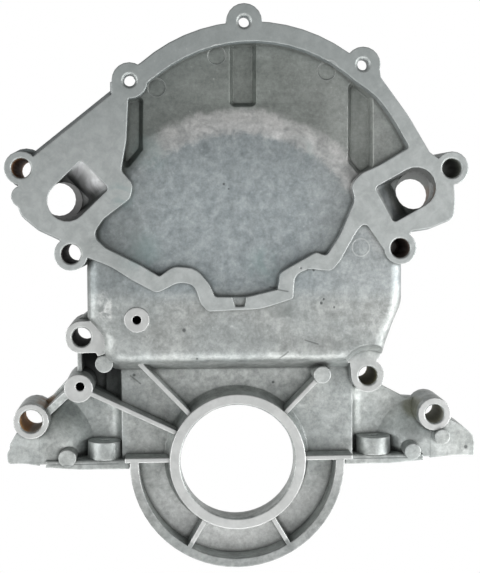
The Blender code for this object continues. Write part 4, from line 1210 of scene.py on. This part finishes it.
def with_ports(skin, colour):
    """The colour inside the water ports: painted shade on their walls, in the left a bright worn scoop with a
    painted highlight strongest on its upper side, and in the right a far wall in deeper painted shade and a
    brown stain.
    """
    n, ramp = skin.nodes, skin.nodes.ramp
    left, right = skin.inside_port(LEFT_PORT), skin.inside_port(RIGHT_PORT)
    along, aside = skin.from_port(LEFT_PORT)
    ragged = (skin.patches - 0.5) * 8.0
    ledge = skin.near(*LEDGE) * ramp(skin.patches, 0.25, 0.5)
    # Painted highlight on the worn scoop of the left port, strongest on its upper side.
    lit_worn_scoop = left * ramp(along + ragged, 3, 10) * (0.12 + ramp(aside + ragged, -10, -1) * 0.88)
    shaded_far_wall = right * ramp(skin.across, 96, 106)
    brown = shaded_far_wall * ramp(skin.across, 109, 116) * ramp(skin.height, 172, 166)
    return n.tinted(
        colour,
        (left * (ledge * 0.24 + 0.75), LEFT_PORT_SHADE),
        (lit_worn_scoop * (1.0 - ledge * 0.9), skin.toned(skin.patches, 0.35, 0.62, SCOOP)),
        (right * 0.55, skin.toned(skin.patches, 0.35, 0.65, PORT_WALL_SHADE)),
        (shaded_far_wall * 0.8, FAR_WALL_SHADE),
        (brown * 0.85, PORT_BROWN))


def rusted(skin, colour):
    """The colour with rust in the lower bores and dirt on the flanks of their bosses."""
    n, ramp, near = skin.nodes, skin.nodes.ramp, skin.near
    across, depth = skin.across, skin.depth
    left_bore = near(-127.5, 25.3, 7.4, 8) * ramp(depth, 33, 31) * ramp(across, -127.5, -131)
    right_bore = near(118.5, 27, 2, 4.5) * ramp(depth, 33, 31)
    left_flank = near(-119.5, 33.5, 3, 8) * n.between(depth, 8, 26, 5) * ramp(skin.patches, 0.3, 0.5)
    right_flank = near(115, 28, 4, 9) * n.between(depth, 10, 26, 4) * (1.0 - skin.square)
    return n.tinted(
        colour, (left_bore * 0.9, ORANGE_RUST), (right_bore * 0.7, RUST), (left_flank * 0.6, BROWN),
        (right_flank * 0.6, OLIVE_DIRT))


def casting_material():
    """Die cast skin, with lighter machined faces, stains, streaks, pits and scratches, and painted light and
    shade.
    """
    metal = bpy.data.materials.new("cast_aluminium")
    metal.use_nodes = True
    n = Nodes(metal.node_tree)
    skin = Skin(n)
    ramp, between, depth = n.ramp, n.between, skin.depth
    scratched = sum(skin.along_line(*line, SCRATCH) for line in SCRATCHES)
    pitted = sum(skin.near(x, z, radius * 0.4, radius) for x, z, radius in PITS)
    ringed = sum(ramp(abs(skin.apart(x, z) - radius), 0.6, 0.2) for x, z, radius in PIN_RINGS)
    hairline = ramp(abs(skin.swirls - 0.5), 0.012, 0.004) * ramp(skin.patches, 0.5, 0.6)
    hairline = (hairline * (1.0 - skin.machined - skin.pump_face)).limited()
    # The corners, found by ambient occlusion, get painted shade with dirt.
    open_sky = n.node("ShaderNodeAmbientOcclusion", {"Distance": 3.5 * MM}, "AO", samples=8)
    corners = ramp(open_sky, 0.9, 0.45) * ramp(skin.speckle, 0.2, 0.5)
    # Painted shadow: the deep corner pocket by the left case boss, near black.
    painted_pocket_shadow = between(skin.across, -97, -73, 1.5) * between(skin.height, 38, 70, 4) * ramp(depth, 27, 22)
    painted_pocket_shadow = painted_pocket_shadow * (ramp(skin.height, 40, 62) * 0.5 + 0.45)
    # The walls of the bores take their stains, and in the near black ones painted shade.
    bores = [(skin.near(x, z, radius, radius + 0.6) * ramp(depth, front - 1, front - 2.5), tint)
             for x, z, radius, front, tint in BORES]

    colour = n.tinted(
        uneven(skin, clean_colour(skin)),
        (hairline * 0.25, HAIRLINE),
        ((scratched * 0.5 + pitted * 0.75).limited() * skin.shown, PIT),
        (ringed.limited() * skin.shown * 0.3, PIN_RING))
    colour = with_ports(skin, shaded_and_grimy(skin, colour, corners))
    colour = n.tinted(colour, *((inside * 0.95, tint) for inside, tint in bores))
    colour = n.tinted(rusted(skin, colour), (painted_pocket_shadow, POCKET_SHADOW))

    dull = (sum(inside for inside, _ in bores) + painted_pocket_shadow + corners * 0.5).limited()
    relief = (skin.grain + skin.mottle * 1.5 + skin.speckle * 0.8)
    relief = relief * (1.0 - skin.machined * 0.8 - skin.pump_face * 0.7)
    relief = relief - (pitted + scratched * 0.6 - ringed * 0.5) * skin.shown * 2.0
    n.plug(metal.node_tree.nodes["Principled BSDF"], {
        "Base Color": colour,
        "Metallic": 0.85 - dull * 0.7,
        "Roughness": 0.46 + skin.grain * 0.1 - skin.machined * 0.08 + dull * 0.3,
        "Normal": n.node("ShaderNodeBump", {
            "Strength": 0.5, "Distance": 0.14 * MM, "Height": relief,
            "Normal": n.node("ShaderNodeBevel", {"Radius": 1.1 * MM}, samples=8)})})
    return metal


# The studio

# Lamps: name, place, what it points at, width and height, and brightness
LAMPS = (
    ("right_panel", (1.15, -0.38, -0.05), (0, 0, 0.1), (0.8, 1.1), 4.5),
    ("left_panel", (-1.15, -0.35, 0.0), (0, 0, 0.1), (0.7, 0.9), 3.0),
    ("low_panel", (0.1, -0.40, -0.80), (0, 0, 0.05), (1.1, 0.6), 3.0),
    ("left_front", (-1.0, -0.66, -0.05), (0, 0, 0.05), (0.5, 0.7), 2.2),
    ("right_front", (1.0, -0.66, -0.1), (0, 0, 0.05), (0.5, 0.7), 2.2),
    ("near_right", (0.55, -0.85, -0.25), (0.05, 0, 0.05), (0.5, 0.5), 0.6),
)
FLOOR_HEIGHT = -0.95
FLOOR_HALF = 1.2
PAPER = (0.9, 0.9, 0.9, 1)
WHITE = (1, 1, 1, 1)


def surroundings():
    """White where the camera looks, and for the lighting grey above and paler below."""
    world = bpy.context.scene.world or bpy.data.worlds.new("world")
    bpy.context.scene.world = world
    world.use_nodes = True
    world.node_tree.nodes.clear()
    n = Nodes(world.node_tree)
    around = n.node("ShaderNodeTexCoord", {}, "Generated")
    direction = n.node("ShaderNodeVectorMath", {0: around}, operation="NORMALIZE")
    across, _, up = n.split(direction)
    tone = (1.0 - n.ramp(up, -0.35, 0.75) * 0.68) * (across * 0.15 + 0.9)
    seen = n.node("ShaderNodeLightPath", {}, "Is Camera Ray")
    mirrored = seen.beside("Is Glossy Ray") + seen.beside("Is Transmission Ray")
    both = n.node("ShaderNodeMixShader", {
        0: (seen + mirrored * n.ramp(up, 0.3, 0.0)).limited(),
        1: n.node("ShaderNodeBackground", {"Color": n.combine(tone, tone, tone)}),
        2: n.node("ShaderNodeBackground", {"Color": WHITE})})
    n.plug(world.node_tree.nodes.new("ShaderNodeOutputWorld"), {"Surface": both})


def lamp(name, place, aim, size, brightness):
    light = bpy.data.lights.new(name, "AREA")
    light.shape = "RECTANGLE"
    light.size, light.size_y = size
    light.energy = brightness * pi * size[0] * size[1]
    made = bpy.data.objects.new(name, light)
    made.location = place
    made.rotation_euler = (Vector(aim) - Vector(place)).to_track_quat("-Z", "Y").to_euler()
    bpy.context.scene.collection.objects.link(made)


def paper_floor():
    """A sheet of white paper far below the casting."""
    bm = bmesh.new()
    bmesh.ops.create_grid(bm, x_segments=1, y_segments=1, size=FLOOR_HALF)
    bmesh.ops.translate(bm, verts=bm.verts, vec=(0, 0, FLOOR_HEIGHT))
    mesh = bpy.data.meshes.new("floor")
    bm.to_mesh(mesh)
    bm.free()
    paper = bpy.data.materials.new("paper")
    paper.use_nodes = True
    n = Nodes(paper.node_tree)
    n.plug(paper.node_tree.nodes["Principled BSDF"], {"Base Color": PAPER, "Roughness": 0.9})
    mesh.materials.append(paper)
    floor = bpy.data.objects.new("floor", mesh)
    bpy.context.scene.collection.objects.link(floor)


camera()
casting()
surroundings()
for settings in LAMPS:
    lamp(*settings)
paper_floor()
bpy.context.scene.view_settings.view_transform = "Standard"
bpy.context.scene.view_settings.look = "None"
